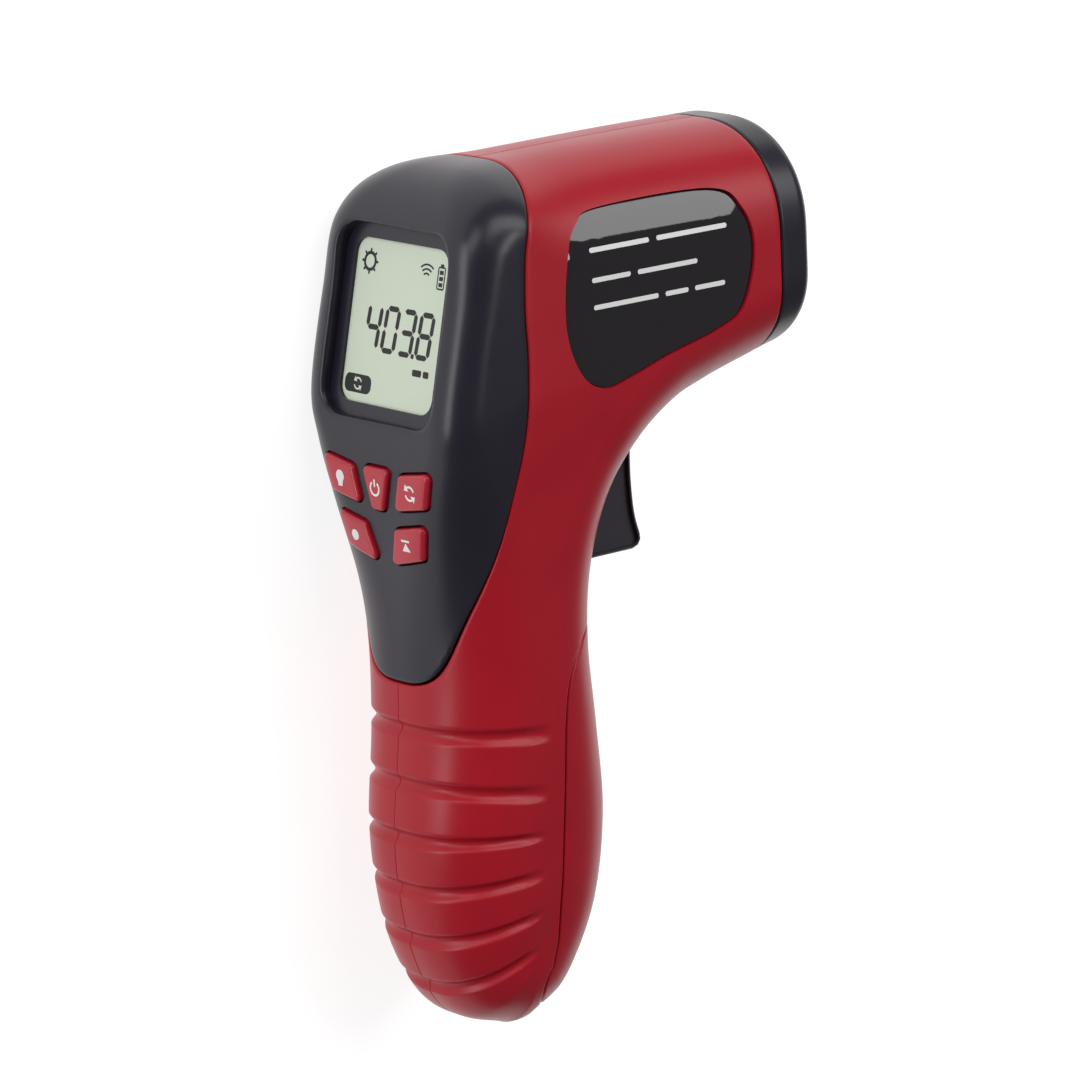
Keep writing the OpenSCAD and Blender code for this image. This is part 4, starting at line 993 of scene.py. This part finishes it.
points, faces = patch(in_nose, [(nose_in, EDGE_ROUND), (NOSE_X - SKIN[:, 0], NOSE_ROUND)],
                      both=True, wall=THICK_WALL)
nose = add_mesh("nose_skin", points, faces)
finish_piece(nose, BLACK, stands_for=["nose_cap"])
edge = section(row_at(NOSE_X), THICK_WALL)[:, [2, 1]]
edge = np.vstack([edge, edge[-2:0:-1] * [-1, 1]])
plate = prism("nose_plate", edge, from_front, NOSE_X - PLATE_T, NOSE_X)
cutters = []
last_turn = 360 - 360 / HOLE_POINTS
for y, r in ((LENS_Y, LENS_R - LENS_RIM), (LASER_Y, APERTURE_R)):
    rings = [(r, NOSE_X - PLATE_T - SPARE), (r, NOSE_X - HOLE_EDGE),
             (r + HOLE_EDGE, NOSE_X), (r + HOLE_EDGE, NOSE_X + SPARE)]
    rings = [np.c_[arc((0, y), k, 0, last_turn, HOLE_POINTS - 1), np.full(HOLE_POINTS, x)] for k, x in rings]
    cutters.append(stack("hole", [from_front(k) for k in rings]))
cut(plate, cutters)
finish_piece(plate, BLACK)

# Camera: its turn from the rear to the right flank, its rise and its roll, in degrees, round an aim
CAMERA_TURN, CAMERA_RISE, CAMERA_ROLL = 51.554, 13.743, 2.626
CAMERA_AIM, CAMERA_DISTANCE = (25, -55, 0), 956.7
FOCAL, SENSOR, SHIFT_X, SHIFT_Y, CLIP_START, CLIP_END = 172.36, 36, 0.03142, 0.02876, 0.05, 20
camera = bpy.data.objects.new("camera", bpy.data.cameras.new("camera"))
bpy.context.collection.objects.link(camera)
turn, rise, roll = (math.radians(k) for k in (CAMERA_TURN, CAMERA_RISE, CAMERA_ROLL))
back = Vector((-math.cos(rise) * math.cos(turn), math.sin(rise), math.cos(rise) * math.sin(turn)))
flat_right = Vector((math.sin(turn), 0, math.cos(turn)))
right = flat_right * math.cos(roll) - back.cross(flat_right) * math.sin(roll)
turned = Matrix((right, back.cross(right), back)).transposed().to_4x4()
camera_at = to_row(np.array(CAMERA_AIM) + CAMERA_DISTANCE * np.array(back))
camera.matrix_world = Matrix.Translation(Vector(camera_at)) @ turned
camera.data.lens, camera.data.sensor_width = FOCAL, SENSOR
camera.data.shift_x, camera.data.shift_y = SHIFT_X, SHIFT_Y
camera.data.clip_start, camera.data.clip_end = CLIP_START, CLIP_END
bpy.context.scene.camera = camera
bpy.context.scene.view_settings.view_transform = "Standard"

# Light and floor
TARGET = Vector((0, 0, 0.03))


def softbox(name, at, size, power):
    """A rectangular lamp that faces the part."""
    data = bpy.data.lights.new(name, "AREA")
    data.shape, data.size, data.size_y, data.energy = "RECTANGLE", size[0], size[1], power
    lamp = bpy.data.objects.new(name, data)
    bpy.context.collection.objects.link(lamp)
    lamp.location = at
    lamp.rotation_euler = (TARGET - Vector(at)).to_track_quat("-Z", "Y").to_euler()


softbox("top_box", (0.35, 0.78, 0.84), (1.4, 0.6), 8.5)
softbox("side_box", (-1.0, 0.15, 0.2), (0.9, 0.3), 4)
softbox("rear_box", (-0.75, 0.75, 0.5), (0.6, 0.4), 2)
softbox("flank_box", (0.42, 0.16, 1.0), (0.3, 0.25), 1.6)

FLOOR_SIZE, FLOOR_TONE, FLOOR_ROUGH, FLOOR_GLOW, WORLD_GLOW = 6, 0.45, 0.8, 0.8, 0.2


def seen_rays(nodes, links, amount):
    """An amount for rays that show the floor: straight to the camera, or in a gloss or through glass."""
    path = nodes.new("ShaderNodeLightPath")
    total = None
    for kind in ("Is Camera Ray", "Is Glossy Ray", "Is Transmission Ray"):
        step = nodes.new("ShaderNodeMath")
        step.operation = "MAXIMUM"
        links.new(path.outputs[kind], step.inputs[0])
        if total:
            links.new(total, step.inputs[1])
        total = step.outputs[0]
    scale = nodes.new("ShaderNodeMath")
    scale.operation = "MULTIPLY"
    scale.inputs[1].default_value = amount
    links.new(total, scale.inputs[0])
    return scale.outputs[0]


bpy.ops.mesh.primitive_grid_add(size=FLOOR_SIZE, x_subdivisions=2, y_subdivisions=2)
floor = bpy.context.object
floor.name = "floor"
floor_mat, nodes, links, shader = node_material("floor")
shader.inputs["Base Color"].default_value = (FLOOR_TONE, FLOOR_TONE, FLOOR_TONE, 1)
shader.inputs["Roughness"].default_value = FLOOR_ROUGH
links.new(seen_rays(nodes, links, FLOOR_GLOW), shader.inputs["Emission Strength"])
shader.inputs["Emission Color"].default_value = (1, 1, 1, 1)
floor.data.materials.append(floor_mat)
world = bpy.data.worlds.new("studio")
world.use_nodes = True
sky = world.node_tree.nodes["Background"]
sky.inputs["Color"].default_value = (1, 1, 1, 1)
sky.inputs["Strength"].default_value = WORLD_GLOW
bpy.context.scene.world = world
